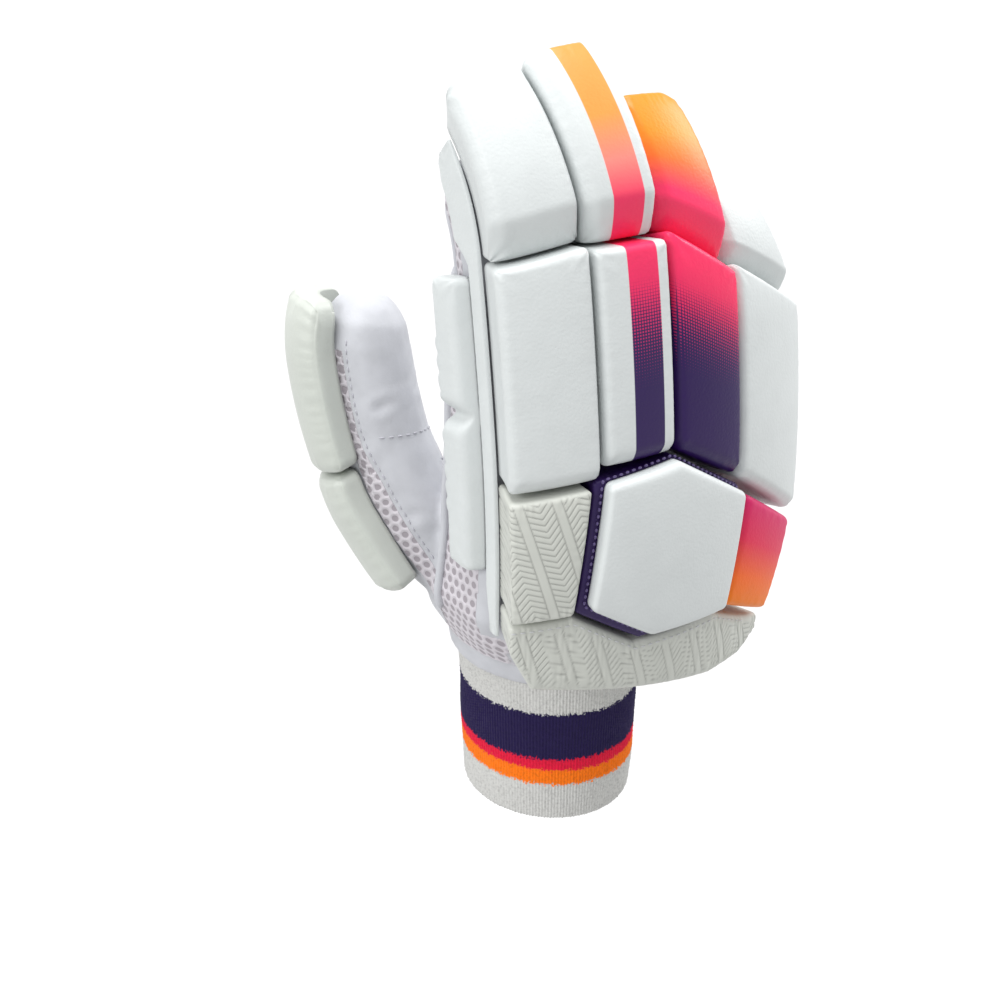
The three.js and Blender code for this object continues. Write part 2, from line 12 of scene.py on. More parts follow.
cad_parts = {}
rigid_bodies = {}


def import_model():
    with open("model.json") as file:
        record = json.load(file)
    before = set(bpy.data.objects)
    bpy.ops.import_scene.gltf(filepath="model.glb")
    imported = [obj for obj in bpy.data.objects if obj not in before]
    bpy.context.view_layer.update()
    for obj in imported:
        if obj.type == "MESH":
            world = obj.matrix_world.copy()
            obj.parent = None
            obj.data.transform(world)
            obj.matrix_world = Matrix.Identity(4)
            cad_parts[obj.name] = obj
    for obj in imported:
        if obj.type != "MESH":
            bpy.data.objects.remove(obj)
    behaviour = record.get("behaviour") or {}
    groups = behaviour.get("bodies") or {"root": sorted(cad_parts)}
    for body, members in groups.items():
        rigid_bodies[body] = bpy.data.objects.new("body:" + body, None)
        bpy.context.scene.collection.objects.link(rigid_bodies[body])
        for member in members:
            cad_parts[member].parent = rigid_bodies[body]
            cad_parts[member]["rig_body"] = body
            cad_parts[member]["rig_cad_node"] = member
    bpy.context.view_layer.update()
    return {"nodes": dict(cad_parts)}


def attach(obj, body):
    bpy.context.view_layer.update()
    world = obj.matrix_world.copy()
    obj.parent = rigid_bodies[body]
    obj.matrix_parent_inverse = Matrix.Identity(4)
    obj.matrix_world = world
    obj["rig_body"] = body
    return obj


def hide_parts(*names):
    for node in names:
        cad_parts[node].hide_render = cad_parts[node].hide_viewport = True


bl_info = {
    "name": "Batting glove dresser",
    "version": (1, 0, 0),
    "blender": (4, 5, 0),
    "location": "3D View > Sidebar > Glove",
    "description": "Builds the visible batting glove round its packed model",
    "category": "Add Mesh",
}

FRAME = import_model()
MM = 0.001

# The glove's own sizes, in millimetres, as its solids have them.
GLOVE_LENGTH = 256.0
FACE_WIDTH = 120.0
PAD_HEIGHT = 20.0
PAD_GAP = 0.9
GUARD_HEIGHT = 17.0
PLATE_HEIGHTS = (17.35, 23.2)
BACK_START = 0.16 * GLOVE_LENGTH
BACK_RADIUS = 115.0
HAND_OFFSET = 6.0
BACK_SETBACK = 37.0
SPINE_STEPS = 330  # of 1 mm, past the longest strip's end
CUFF_WIDTH = 62.0
CUFF_DEPTH = 68.0
CUFF_HEIGHT = 60.0
CUFF_WALL = 3.0
CUFF_RIM = 0.93  # the rim, as a share of the cuff's width at its top
CURL = 210.0  # degrees that a finger curls in a whole GLOVE_LENGTH past its joint
THUMB_LENGTH = 118.0
THUMB_RADIUS = 14.5
THUMB_PAD_RADIUS = 18.5  # where a thumb pad's width is measured
THUMB_PAD_HEIGHT = 11.0
THUMB_START = (-34.5, 14.0, 67.0)
THUMB_UP = (-0.2, 0.29, 0.935)
THUMB_OUT = (-0.84, 0.54, 0.0)
STRAP_LOW = 12.0
STRAP_WIDTH = 30.0
TAB_LAP = 1.5
FOOT = 0.35  # the gap under a pad
SIDE_FACE = -0.465 * FACE_WIDTH
NOTCH_AT = 0.55  # the bar's notch, as a share of its length
WEB_LEVEL = 0.703  # where the fingers part, at the hand's middle
WEB_SLOPE = 0.22  # the web drops towards the little finger
BORDER_SLOPE = 0.6  # how far a pad's sloped border falls, for each mm of its width
OVERHANG = (2.2, 0.5)  # how far the index roll hangs over the pad below it, left and right
STITCH_GAP = 0.9 * MM
GRAIN_SCALE = 1100.0
TOUCH = 1e-6

WELT_WIDE = ((0, 3.2), (0.1, 5.6), (0.73, 5.6), (0.79, 12.2), (0.94, 11.4), (0.98, 9.5), (1, 6))
BAR_WIDE = ((0, 11.6), (1, 11.6))
BACK_LEAN = ((0.16, -5), (0.35, -2), (0.59, 6), (0.8, 9), (1.2, 12))
THUMB_LEAN = ((0, -14), (0.4, -10), (0.6, 5), (0.85, 12), (1, 30))
THUMB_WIDE = ((0, 0.7), (0.2, 1.12), (0.42, 1.12), (0.62, 1.06), (0.86, 1.06), (0.97, 0.98), (1.05, 0.45))

# left to tip_right are shares of FACE_WIDTH, knuckle to top shares of GLOVE_LENGTH.
Finger = namedtuple("Finger", "name left right tip_left tip_right knuckle joint top")
FINGERS = (
    Finger("index", -0.467, -0.214, -0.466, -0.256, (0.546, 0.544), (0.803, 0.815), 1.003),
    Finger("middle", -0.214, 0.008, -0.252, -0.04, (0.555, 0.557), (0.811, 0.811), 1.006),
    Finger("ring", 0.008, 0.248, -0.012, 0.19, (0.557, 0.499), (0.809, 0.755), 0.94),
    Finger("little", 0.248, 0.585, 0.218, 0.4, (0.495, 0.396), (0.752, 0.685), 0.842),
)

# Radii of a tip roll's upper corners, left and right.
TIP_CORNERS = {"index": (5.5, 3.0), "middle": (3.0, 4.5), "ring": (3.0, 8.0), "little": (4.0, 7.0)}

# Pads on the back: lower and upper edge, [share of FACE_WIDTH, share of GLOVE_LENGTH].
INDEX_KNUCKLE = (((-0.467, 0.378), (-0.297, 0.381)), ((-0.467, 0.54), (-0.247, 0.538)))
LITTLE_KNUCKLE = (((0.205, 0.331), (0.43, 0.281)), ((0.28, 0.473), (0.56, 0.392)))
BACKING = (
    ((-0.288, 0.381), (-0.09, 0.327), (0.196, 0.327)),
    ((-0.236, 0.542), (0.008, 0.553), (0.262, 0.486)),
)
PLATE = (
    ((-0.259, 0.39), (-0.076, 0.338), (0.184, 0.336)),
    ((-0.208, 0.541), (-0.002, 0.5515), (0.242, 0.4825)),
)
GUARD = (
    ((-0.462, 0.33), (-0.4, 0.277), (-0.1, 0.252), (0.2, 0.226), (0.34, 0.228), (0.425, 0.25)),
    ((-0.467, 0.369), (-0.29, 0.372), (-0.1, 0.32), (0.19, 0.32), (0.33, 0.289), (0.43, 0.272)),
)

# Colours, linear.
WHITE = (0.64, 0.672, 0.672, 1)
CREAM = (0.56, 0.59, 0.545, 1)
BONE = (0.58, 0.595, 0.55, 1)
# Painted shade for the grooves of the embossed relief.
GROOVE_SHADE = (0.40, 0.41, 0.38, 1)
PALM = (0.55, 0.56, 0.595, 1)
PURPLE = (0.02, 0.004, 0.075, 1)
PINK = (0.90, 0.034, 0.125, 1)
CUFF_PURPLE = (0.009, 0.002, 0.055, 1)
CUFF_RED = (0.78, 0.003, 0.045, 1)
CUFF_ORANGE = (1.0, 0.2, 0.0, 1)
KNIT_WHITE = (0.64, 0.64, 0.62, 1)
NET_LIGHT = (0.62, 0.59, 0.63, 1)
NET_DARK = (0.34, 0.31, 0.34, 1)

# The printed fades up a roll, by finger and part. A name stands for one of the user's colours.
FADES = {
    ("middle", "tip"): (
        (0.0, "pink"), (0.2, "pink"), (0.38, (1.0, 0.24, 0.2, 1)), (0.6, (1.0, 0.3, 0.06, 1)),
    ),
    ("middle", "middle"): (
        (0.3, "purple"), (0.5, (0.3, 0.015, 0.12, 1)), (0.78, (0.8, 0.02, 0.12, 1)), (1.0, "pink"),
    ),
    ("ring", "tip"): (
        (0.0, "pink"), (0.3, "pink"), (0.52, (1.0, 0.16, 0.02, 1)), (0.7, (1.0, 0.27, 0.012, 1)),
    ),
    ("ring", "middle"): (
        (0.36, "purple"), (0.52, (0.25, 0.015, 0.12, 1)), (0.72, (0.72, 0.02, 0.11, 1)), (0.9, "pink"),
    ),
}
HALFTONES = {"middle": (0.36, 0.86), "ring": (0.4, 0.84)}
STRIPES = {"tip": (0.36, 0.78), "middle": (0.39, 0.80)}
KNUCKLE_FADE = (
    (0.05, (0.85, 0.2, 0.008, 1)), (0.3, (0.85, 0.14, 0.02, 1)),
    (0.62, (0.7, 0.025, 0.08, 1)), (1.0, (0.56, 0.012, 0.12, 1)),
)

# Where the knit's and the strap's colours start, from the bottom: in mm, and in shares of its width.
BAND_COLOURS = (KNIT_WHITE, CUFF_ORANGE, CUFF_RED, CUFF_PURPLE, KNIT_WHITE)
CUFF_BANDS = (0.0, 14.6, 20.4, 24.8, 43.2)
STRAP_BANDS = (0.0, 0.06, 0.24, 0.38, 0.95)

LEATHER_NODES = ("hand_shell", "index_stall", "middle_stall", "ring_stall", "little_stall", "thumb_stall")

# Folds of the palm side and thumb: (start, end, depth, width) in mm.
FOLDS = (
    ((-24, 2, 150), (44, 4, 128), 0.9, 1.6),
    ((-30, 6, 128), (20, 14, 96), 0.8, 1.8),
    ((-34, 8, 112), (-6, 26, 74), 0.9, 2.0),
    ((-36, -4, 196), (-16, -4, 197), 0.9, 1.3),
    ((-14, -6, 192), (6, -6, 192), 0.9, 1.3),
    ((8, -6, 186), (30, -6, 184), 0.9, 1.3),
    ((32, -4, 176), (52, -4, 174), 0.8, 1.3),
    ((-35, 2, 214), (-17, 2, 214), 0.8, 1.2),
    ((-14, 0, 214), (4, 0, 214), 0.8, 1.2),
    ((8, -2, 202), (29, -2, 200), 0.8, 1.2),
    ((-60, 18, 145), (-34, 28, 149), 0.6, 1.7),
    ((-60, 24, 136), (-38, 22, 127), 0.4, 2.0),
    ((-50, 10, 112), (-30, 14, 104), 0.8, 1.8),
)

CAMERA_PLACE = (-0.2974, -0.4170, 0.3467)
CAMERA_AIM = (0.502, 0.755, -0.4226)
SENSOR_WIDTH = 36.0
LENS = 60.4
WORLD_STRENGTH = 0.72

# The stage's suns: name, the direction they shine from, strength, width in degrees.
SUNS = (
    ("top", (0.0, 0.02, 1.0), 3.0, 45),
    ("left", (-1.0, -0.05, 0.5), 1.3, 30),
    ("right", (1.0, -0.1, 0.5), 1.2, 30),
)


def size_setting(label, text, default):
    """A length that a user may change, given in mm."""
    return bpy.props.FloatProperty(name=label, description=text, default=default * MM, unit="LENGTH")


def colour_setting(label, text, default):
    """A colour that a user may change."""
    settings = {"name": label, "description": text, "default": default}
    return bpy.props.FloatVectorProperty(subtype="COLOR", size=4, **settings)


class GloveSizes(bpy.types.PropertyGroup):
    """What a user may change about the glove's build."""

    pad_height: size_setting("Roll height", "A finger roll's height off the back", PAD_HEIGHT)
    edge_round: size_setting("Edge round", "Rounding of a roll's edges", 2.0)
    crown: size_setting("Crown", "How far a roll's face swells", 1.1)
    emboss_depth: size_setting("Emboss depth", "Relief of the embossed pads", 0.3)
    leather_voxel: size_setting("Leather voxel", "Cell in which the palm leather is joined", 1.18)


class GloveColours(bpy.types.PropertyGroup):
    """The glove's main colours."""

    white: colour_setting("White leather", "The rolls' white", WHITE)
    palm: colour_setting("Palm leather", "The palm's grey white", PALM)
    purple: colour_setting("Purple", "The prints' dark end", PURPLE)
    pink: colour_setting("Pink", "The prints' middle", PINK)


def size(key):
    """One of the user's sizes, in mm."""
    return getattr(bpy.context.scene.glove_sizes, key) / MM


def colour(key):
    """One of the user's colours."""
    return tuple(getattr(bpy.context.scene.glove_colours, key))


# Curved strips


def look_up(table, at):
    """The value of a (place, value) table at a place along it."""
    places, values = zip(*table)
    return np.interp(at, places, values)


def smooth(value):
    value = np.clip(value, 0, 1)
    return value * value * (3 - 2 * value)


def wave(angle):
    """A wave between 0 and 1."""
    return 0.5 + 0.5 * np.sin(angle)


def bell(gap, spread):
    """1 at a gap of 0, falling away over its spread."""
    return np.exp(-(gap**2) / spread)


def unit(vector):
    vector = np.asarray(vector, float)
    return vector / np.linalg.norm(vector, axis=-1, keepdims=True)


class Strip:
    """A curved strip of the glove. place() takes across, along and out in mm and gives metres."""

    def __init__(self, start, up, out, radius, face_radius, first, lean):
        self.up = unit(up)
        self.out = unit(np.asarray(out) - np.dot(out, self.up) * self.up)
        self.side = np.cross(self.up, self.out)
        self.radius = radius
        self.face_radius = face_radius
        self.first = first
        self.lean = lean
        angle = np.radians(lean(first + np.arange(SPINE_STEPS) + 0.5))
        moves = np.cos(angle)[:, None] * self.up - np.sin(angle)[:, None] * self.out
        self.spine = np.vstack([start, start + np.cumsum(moves, axis=0)])

    def place(self, across, along, height):
        across, along, height = np.broadcast_arrays(across, along, height)
        step = np.clip(along - self.first, 0, len(self.spine) - 1.001)
        index = step.astype(int)
        part = (step - index)[..., None]
        point = self.spine[index] * (1 - part) + self.spine[index + 1] * part
        angle = np.radians(self.lean(along))[..., None]
        normal = np.cos(angle) * self.out + np.sin(angle) * self.up
        turn = across / self.face_radius
        reach = self.radius + np.maximum(height, 0)
        rise = reach * np.cos(turn) - self.radius + np.minimum(height, 0)
        return (point + self.side * (reach * np.sin(turn))[..., None] + normal * rise[..., None]) * MM


def back_strip(finger=None):
    """The back of the hand, or the strip of one finger, which curls past its joint."""
    joint = GLOVE_LENGTH * min(finger.joint) if finger else 1e6

    def lean(along):
        base = look_up(BACK_LEAN, np.minimum(along, joint) / GLOVE_LENGTH)
        return base + CURL * np.maximum(0, along - joint) / GLOVE_LENGTH

    start = (HAND_OFFSET, -BACK_SETBACK, BACK_START)
    return Strip(start, (0, 0, 1), (0, -1, 0), BACK_RADIUS, BACK_RADIUS + PAD_HEIGHT, BACK_START, lean)


def thumb_strip():
    def lean(along):
        return look_up(THUMB_LEAN, np.asarray(along) / THUMB_LENGTH)

    return Strip(THUMB_START, THUMB_UP, THUMB_OUT, THUMB_RADIUS, THUMB_RADIUS, 0.0, lean)


# Meshes


def mesh_object(name, points, faces, uvs=None):
    """A smooth-shaded mesh object in the scene, with an optional print map."""
    mesh = bpy.data.meshes.new(name)
    faces = faces if isinstance(faces, list) else faces.tolist()
    mesh.from_pydata(points.reshape(-1, 3).tolist(), [], faces)
    if uvs is not None:
        add_print_map(mesh, uvs)
    mesh.polygons.foreach_set("use_smooth", [True] * len(mesh.polygons))
    piece = bpy.data.objects.new(name, mesh)
    bpy.context.scene.collection.objects.link(piece)
    return piece


def add_print_map(mesh, uvs):
    """The UV map named print, from one pair for each vertex."""
    layer = mesh.uv_layers.new(name="print")
    corner = np.empty(len(mesh.loops), int)
    mesh.loops.foreach_get("vertex_index", corner)
    layer.data.foreach_set("uv", uvs[corner].ravel())


def vertex_values(mesh, key):
    values = np.empty(len(mesh.vertices) * 3)
    mesh.vertices.foreach_get(key, values)
    return values.reshape(-1, 3)


def select_only(*pieces):
    """Selects the given objects and makes the first one active, ready for an operator."""
    bpy.ops.object.select_all(action="DESELECT")
    for piece in pieces:
        piece.select_set(True)
    bpy.context.view_layer.objects.active = pieces[0]


def finish_piece(piece, material, slot, nodes=(), fill=None):
    """Gives a piece its material and body, and hides the nodes that it stands for. Its slot is not used."""
    piece.data.materials.clear()
    piece.data.materials.append(material)
    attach(piece, "root")
    if nodes:
        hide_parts(*nodes)


def edge_lines(length, margin, step):
    """Places along a side: close together inside the rounded margin, even between."""
    margin = min(margin, 0.45 * length)
    close = margin * np.array([0, 0.12, 0.3, 0.52, 0.76])
    count = max(2, int(math.ceil((length - 2 * margin) / step)))
    middle = np.linspace(margin, length - margin, count + 1)
    return np.concatenate([close, middle, length - close[::-1]])


def box_skin(xs, ys, zs):
    """The surface of a lattice box: its points and its outward quads."""
    shape = (len(xs), len(ys), len(zs))
    number = -np.ones(shape, int)
    on = np.zeros(shape, bool)
    for axis in range(3):
        ends = [slice(None)] * 3
        ends[axis] = [0, -1]
        on[tuple(ends)] = True
    number[on] = np.arange(on.sum())
    x, y, z = np.meshgrid(xs, ys, zs, indexing="ij")
    points = np.stack([x[on], y[on], z[on]], axis=-1)
    quads = []
    for axis in range(3):
        for end, turned in ((0, axis != 1), (-1, axis == 1)):
            side = np.take(number, end, axis=axis)
            quad = np.stack([side[:-1, :-1], side[1:, :-1], side[1:, 1:], side[:-1, 1:]], axis=-1)
            quad = quad.reshape(-1, 4)
            quads.append(quad[:, ::-1] if turned else quad)
    return points, np.concatenate(quads)


def soft_ramp(gap, reach, round_off=0.7):
    """0 beyond reach and rising to reach at a gap of 0, with its corner rounded off."""
    rise = reach - gap
    return 0.5 * (rise + np.sqrt(rise * rise + round_off * round_off)) - 0.25 * round_off


def rounded_box(width, length, depth, edge, step):
    """A box with rounded edges, but square round its foot, on a lattice that is finer at its edges."""
    zs = np.concatenate([np.linspace(0, depth - edge, 5), depth - edge * np.array([0.7, 0.42, 0.2, 0])])
    points, quads = box_skin(edge_lines(width, edge, step), edge_lines(length, edge, step), zs)
    core = np.clip(points, [edge, edge, -1e9], [width - edge, length - edge, depth - edge])
    away = points - core
    far = np.linalg.norm(away, axis=1)
    in_foot = (points[:, 2] < TOUCH) & (far < edge)
    for axis, side in enumerate((width, length)):
        in_foot &= (points[:, axis] >= TOUCH) & (points[:, axis] <= side - TOUCH)
    grow = edge / np.maximum(far, 1e-9)
    grow = np.where(in_foot, np.minimum(1, grow), grow)
    return core + away * np.where(far > 1e-9, grow, 0)[:, None], quads, points[:, 2] > depth - TOUCH


def line_at(line, share):
    """The points at shares along a line whose points are evenly numbered."""
    places = np.linspace(0, 1, len(line))
    return np.stack([np.interp(share, places, line[:, k]) for k in (0, 1)], axis=-1)


def rounded_pad(place, lower, upper, foot, height, edge, crown, step=1.3, relief=None, pucker=0.22,
                pinch=0.35, slopes=(0, 0, 0, 0), gather=0.0, corners=(0, 0)):
    """A stuffed pad between two lines of (across, along) points, rounded at its edges and corners.

    Its UV map runs from 0 to 1 across and along it. relief(across, along) cuts its face where it is below 1.
    slopes are the widths of the sloped borders at its left, right, lower and upper side.
    corners are the radii in plan of its upper corners, left and right.
    """
    lower = np.asarray(lower, float)
    upper = np.asarray(upper, float)
    width = np.linalg.norm(np.diff(lower, axis=0), axis=1).sum()
    length = np.linalg.norm((upper - lower)[[0, -1]], axis=1).max()
    depth = height - crown - foot
    shaped, quads, top = rounded_box(width, length, depth, edge, step)
    a = np.clip(shaped[:, 0] / width, 0, 1)
    b = np.clip(shaped[:, 1] / length, 0, 1)
    up = shaped[:, 2] / depth
    low_line = line_at(lower, a)
    spot = low_line + (line_at(upper, a) - low_line) * b[:, None]
    swell = crown * (np.sin(np.pi * a) * np.sin(np.pi * b)) ** 0.4 * up
    end = np.minimum(b, 1 - b) * length
    side = np.minimum(a, 1 - a) * width
    ripple = wave(2.1 * spot[:, 0] + 3 * np.sin(0.5 * spot[:, 0]))
    fold = pucker * bell(end - edge, 6) * ripple * up
    ripple = wave(1.7 * spot[:, 1] + 2 * np.sin(0.31 * spot[:, 1]))
    fold += 0.5 * pucker * bell(side - edge, 5) * ripple * up
    gaps = (a * width, (1 - a) * width, b * length, (1 - b) * length)
    for gap, reach in zip(gaps, slopes):
        if reach:
            fold = fold + BORDER_SLOPE * np.maximum(0, soft_ramp(gap, reach)) * up
    for gap, radius in zip(gaps, corners):
        if radius:
            bite = np.clip(radius - gap, 0, radius)
            spot[:, 1] -= (radius - np.sqrt(radius * radius - bite * bite)) * b**4
    if gather:
        ray = np.arctan2(end, side)
        rays = 0.5 + 0.5 * np.cos(ray * 9 + a * 5)
        fold = fold + gather * bell(np.hypot(side, end) / 6.5, 1) * rays * up
    z = foot + shaped[:, 2] + swell - fold
    waist = pinch * np.sin(np.pi * np.clip(up, 0, 1)) * (1 - np.minimum(1, side / 2))
    spot[:, 0] += np.where(a < 0.5, waist, -waist)
    uvs = np.stack([a, b], axis=-1)
    if relief is not None:
        left_wall = (a < 0.5) & (side < 0.5) & ~top
        unfolded = spot[:, 0] - np.where(left_wall, depth - shaped[:, 2], 0)
        cut = (1 - relief(unfolded, spot[:, 1])) * np.clip(end / 1.5, 0, 1)
        z -= np.where(top, cut * size("emboss_depth"), 0)
        spot[:, 0] += np.where(left_wall, cut * size("emboss_depth"), 0)
        # With a relief, the map's second axis holds how deep the face is cut, which the embossed leather
        # reads for its painted groove shade.
        uvs[:, 1] = 1 - np.where(top | left_wall, cut, 0)
    return place(spot[:, 0], spot[:, 1], z), quads, uvs


def pad_piece(name, material, slot, node, fill, *outline, **shape):
    """Adds a stuffed pad that stands for a node. outline and shape go to rounded_pad."""
    finish_piece(mesh_object(name, *rounded_pad(*outline, **shape)), material, slot, [node], fill)


def scaled(line):
    return [(across * FACE_WIDTH, along * GLOVE_LENGTH) for across, along in line]


# Shader writing


class Shader:
    """A writer for the nodes of one material or group."""

    def __init__(self, tree):
        self.tree = tree
        self.count = 0

    def add(self, kind, inputs=None, **settings):
        node = self.tree.nodes.new(kind)
        node.location = (180 * (self.count % 8), -220 * (self.count // 8))
        self.count += 1
        for key, value in settings.items():
            setattr(node, key, value)
        for key, value in (inputs or {}).items():
            if isinstance(value, bpy.types.NodeSocket):
                self.tree.links.new(value, node.inputs[key])
            else:
                node.inputs[key].default_value = value
        return node

    def math(self, operation, *values):
        return self.add("ShaderNodeMath", dict(enumerate(values)), operation=operation).outputs[0]

    def times(self, first, second):
        return self.math("MULTIPLY", first, second)

    def minus(self, first, second):
        return self.math("SUBTRACT", first, second)

    def step(self, value, low, high):
        """0 below low, 1 above high, smooth between."""
        inputs = {"Value": value, "From Min": low, "From Max": high}
        return self.add("ShaderNodeMapRange", inputs, interpolation_type="SMOOTHSTEP").outputs[0]

    def mix(self, factor, first, second, blend="MIX"):
        inputs = {0: factor, 6: first, 7: second}
        return self.add("ShaderNodeMix", inputs, data_type="RGBA", blend_type=blend).outputs[2]

    def noise(self, vector, scale, detail=3.0, roughness=0.5):
        inputs = {"Vector": vector, "Scale": scale, "Detail": detail, "Roughness": roughness}
        return self.add("ShaderNodeTexNoise", inputs).outputs[0]

    def ramp(self, factor, stops, interpolation="LINEAR"):
        node = self.add("ShaderNodeValToRGB", {0: factor})
        node.color_ramp.interpolation = interpolation
        elements = node.color_ramp.elements
        while len(elements) < len(stops):
            elements.new(0.5)
        for element, (place, tone) in zip(elements, stops):
            element.position = place
            element.color = tone
        return node.outputs[0]

    def bands(self, factor, starts):
        return self.ramp(factor, list(zip(starts, BAND_COLOURS)), "CONSTANT")

    def parts(self, vector):
        return self.add("ShaderNodeSeparateXYZ", {0: vector}).outputs

    def print_map(self):
        return self.add("ShaderNodeUVMap", uv_map="print").outputs[0]

    def mask(self, name):
        """1 where a painted attribute of the mesh is."""
        return self.step(self.add("ShaderNodeAttribute", attribute_name=name).outputs["Fac"], 0.45, 0.55)

    def group(self, tree, **inputs):
        return self.add("ShaderNodeGroup", inputs, node_tree=tree).outputs


class Surface(Shader):
    """A new material's writer. place is the object's own coordinates."""

    def __init__(self, name, roughness, shine=0.42, sheen=0.0, coat=0.0):
        self.material = bpy.data.materials.new(name)
        self.material.use_nodes = True
        super().__init__(self.material.node_tree)
        self.inputs = self.tree.nodes["Principled BSDF"].inputs
        for key, value in (
            ("Roughness", roughness), ("Specular IOR Level", shine), ("Sheen Weight", sheen),
            ("Coat Weight", coat), ("Coat Roughness", 0.3),
        ):
            self.inputs[key].default_value = value
        self.place = self.add("ShaderNodeTexCoord").outputs["Object"]

    def link(self, value, key="Base Color"):
        self.tree.links.new(value, self.inputs[key])

    def bump(self, height, strength, distance):
        inputs = {"Height": height, "Strength": strength, "Distance": distance}
        self.link(self.add("ShaderNodeBump", inputs).outputs[0], "Normal")


def shaded(tone, share):
    return tuple(channel * share for channel in tone[:3]) + (1,)


def grey(level):
    return (level, level, level, 1)


def new_group(name, inputs, outputs):
    """A shader node group without nodes of its own, a writer for it, and its ends."""
    tree = bpy.data.node_groups.new(name, "ShaderNodeTree")
    for label, kind, default in inputs:
        socket = tree.interface.new_socket(name=label, in_out="INPUT", socket_type=kind)
        if default is not None:
            socket.default_value = default
    for label in outputs:
        tree.interface.new_socket(name=label, in_out="OUTPUT", socket_type="NodeSocketFloat")
    shader = Shader(tree)
    return tree, shader, shader.add("NodeGroupInput").outputs, shader.add("NodeGroupOutput").inputs


def leather_grain_group():
    """Fine pebbled grain with shallow creases. Height goes to a bump, Tone to the colour."""
    if "leather_grain" in bpy.data.node_groups:
        return bpy.data.node_groups["leather_grain"]
    inputs = (("Vector", "NodeSocketVector", None), ("Scale", "NodeSocketFloat", 1600.0))
    tree, shader, given, made = new_group("leather_grain", inputs, ("Height", "Tone"))
    vector = given["Vector"]
    inputs = {"Vector": vector, "Scale": given["Scale"]}
    cells = shader.add("ShaderNodeTexVoronoi", inputs, feature="SMOOTH_F1").outputs["Distance"]
    fine = shader.noise(vector, 2600.0, 2.0)
    height = shader.math("ADD", shader.times(cells, 0.7), shader.times(fine, 0.3))
    tree.links.new(height, made["Height"])
    tree.links.new(shader.noise(vector, 120.0, 4.0), made["Tone"])
    return tree


def net_group():
    """Staggered rows of holes in a flat pattern. Hole is 1 inside a hole, 0 on the yarn."""
    if "net_holes" in bpy.data.node_groups:
        return bpy.data.node_groups["net_holes"]
    defaults = (("Across", 0.0), ("Along", 0.0), ("Pitch", 0.0026), ("Radius", 0.34))
    inputs = [(label, "NodeSocketFloat", default) for label, default in defaults]
    tree, shader, given, made = new_group("net_holes", inputs, ("Hole", "Height"))
    row_gap = math.sqrt(3)
    x = shader.math("DIVIDE", given["Across"], given["Pitch"])
    y = shader.math("DIVIDE", given["Along"], shader.times(given["Pitch"], row_gap))

    def row(shift):
        dx = shader.minus(shader.math("FRACT", shader.math("ADD", x, shift)), 0.5)
        dy = shader.minus(shader.math("FRACT", shader.math("ADD", y, shift)), 0.5)
        dy = shader.times(dy, row_gap)
        return shader.math("SQRT", shader.math("ADD", shader.times(dx, dx), shader.times(dy, dy)))

    gap = shader.minus(given["Radius"], shader.math("MINIMUM", row(0.0), row(0.5)))
    tree.links.new(shader.step(gap, -0.04, 0.05), made["Hole"])
    tree.links.new(shader.step(gap, 0.12, -0.22), made["Height"])
    return tree


def leather(name, base, roughness=0.42, grain=0.27, dark=0.97, coat=0.08, shine=0.42):
    """Coated leather with grain. base is a colour, or a paint(shader) that gives a printed one."""
    shader = Surface(name, roughness, shine, coat=coat)
    cells = shader.group(leather_grain_group(), Vector=shader.place, Scale=GRAIN_SCALE)
    worn = shader.step(cells["Tone"], 0.3, 0.62)
    if callable(base):
        shader.link(shader.mix(1.0, base(shader), shader.mix(worn, grey(dark), grey(1)), "MULTIPLY"))
    else:
        shader.link(shader.mix(worn, shaded(base, dark), base))
    rough = shader.math("ADD", roughness - 0.05, shader.times(cells["Tone"], 0.12))
    shader.link(rough, "Roughness")
    shader.bump(cells["Height"], grain, 0.0003)
    return shader.material


def halftone(shader, across, along, width, length, low, high, pitch=0.95):
    """Squares that fill their cells at high and shrink to nothing at low, shares along the piece."""
    def cell(value, span):
        part = shader.math("FRACT", shader.times(value, span / pitch))
        return shader.math("ABSOLUTE", shader.minus(part, 0.5))

    off = shader.math("MAXIMUM", cell(across, width), cell(along, length))
    row = shader.math("FLOOR", shader.times(along, length / pitch))
    level = shader.math("DIVIDE", row, length / pitch)
    inputs = {"Value": level, "From Min": low, "From Max": high, "To Min": 0.06, "To Max": 0.53}
    half = shader.add("ShaderNodeMapRange", inputs).outputs[0]
    square = shader.step(shader.minus(half, off), -0.04, 0.04)
    return shader.times(square, shader.math("GREATER_THAN", level, low - 0.01))


def roll_paint(finger, part, width, length):
    """The ring finger's full fade, or the middle finger's as a stripe on white leather."""
    def paint(shader):
        across, along = list(shader.parts(shader.print_map()))[:2]
        stops = [(at, colour(ink) if isinstance(ink, str) else ink) for at, ink in FADES[finger, part]]
        ink = shader.ramp(along, stops)
        if part == "middle":
            squares = halftone(shader, across, along, width, length, *HALFTONES[finger])
            ink = shader.mix(squares, colour("purple"), ink)
        if finger == "ring":
            return ink
        left, right = STRIPES[part]
        after_left = shader.step(across, left - 0.006, left + 0.006)
        before_right = shader.step(across, right + 0.006, right - 0.006)
        return shader.mix(shader.times(after_left, before_right), colour("white"), ink)
    return paint


def knuckle_paint(shader):
    """Magenta at the top to orange at the bottom."""
    return shader.ramp(shader.parts(shader.print_map())[1], KNUCKLE_FADE)


def groove_shade_paint(shader):
    """Painted shade: darker in the grooves of the relief, whose depth is the print map's second axis."""
    return shader.mix(shader.parts(shader.print_map())[1], GROOVE_SHADE, BONE)


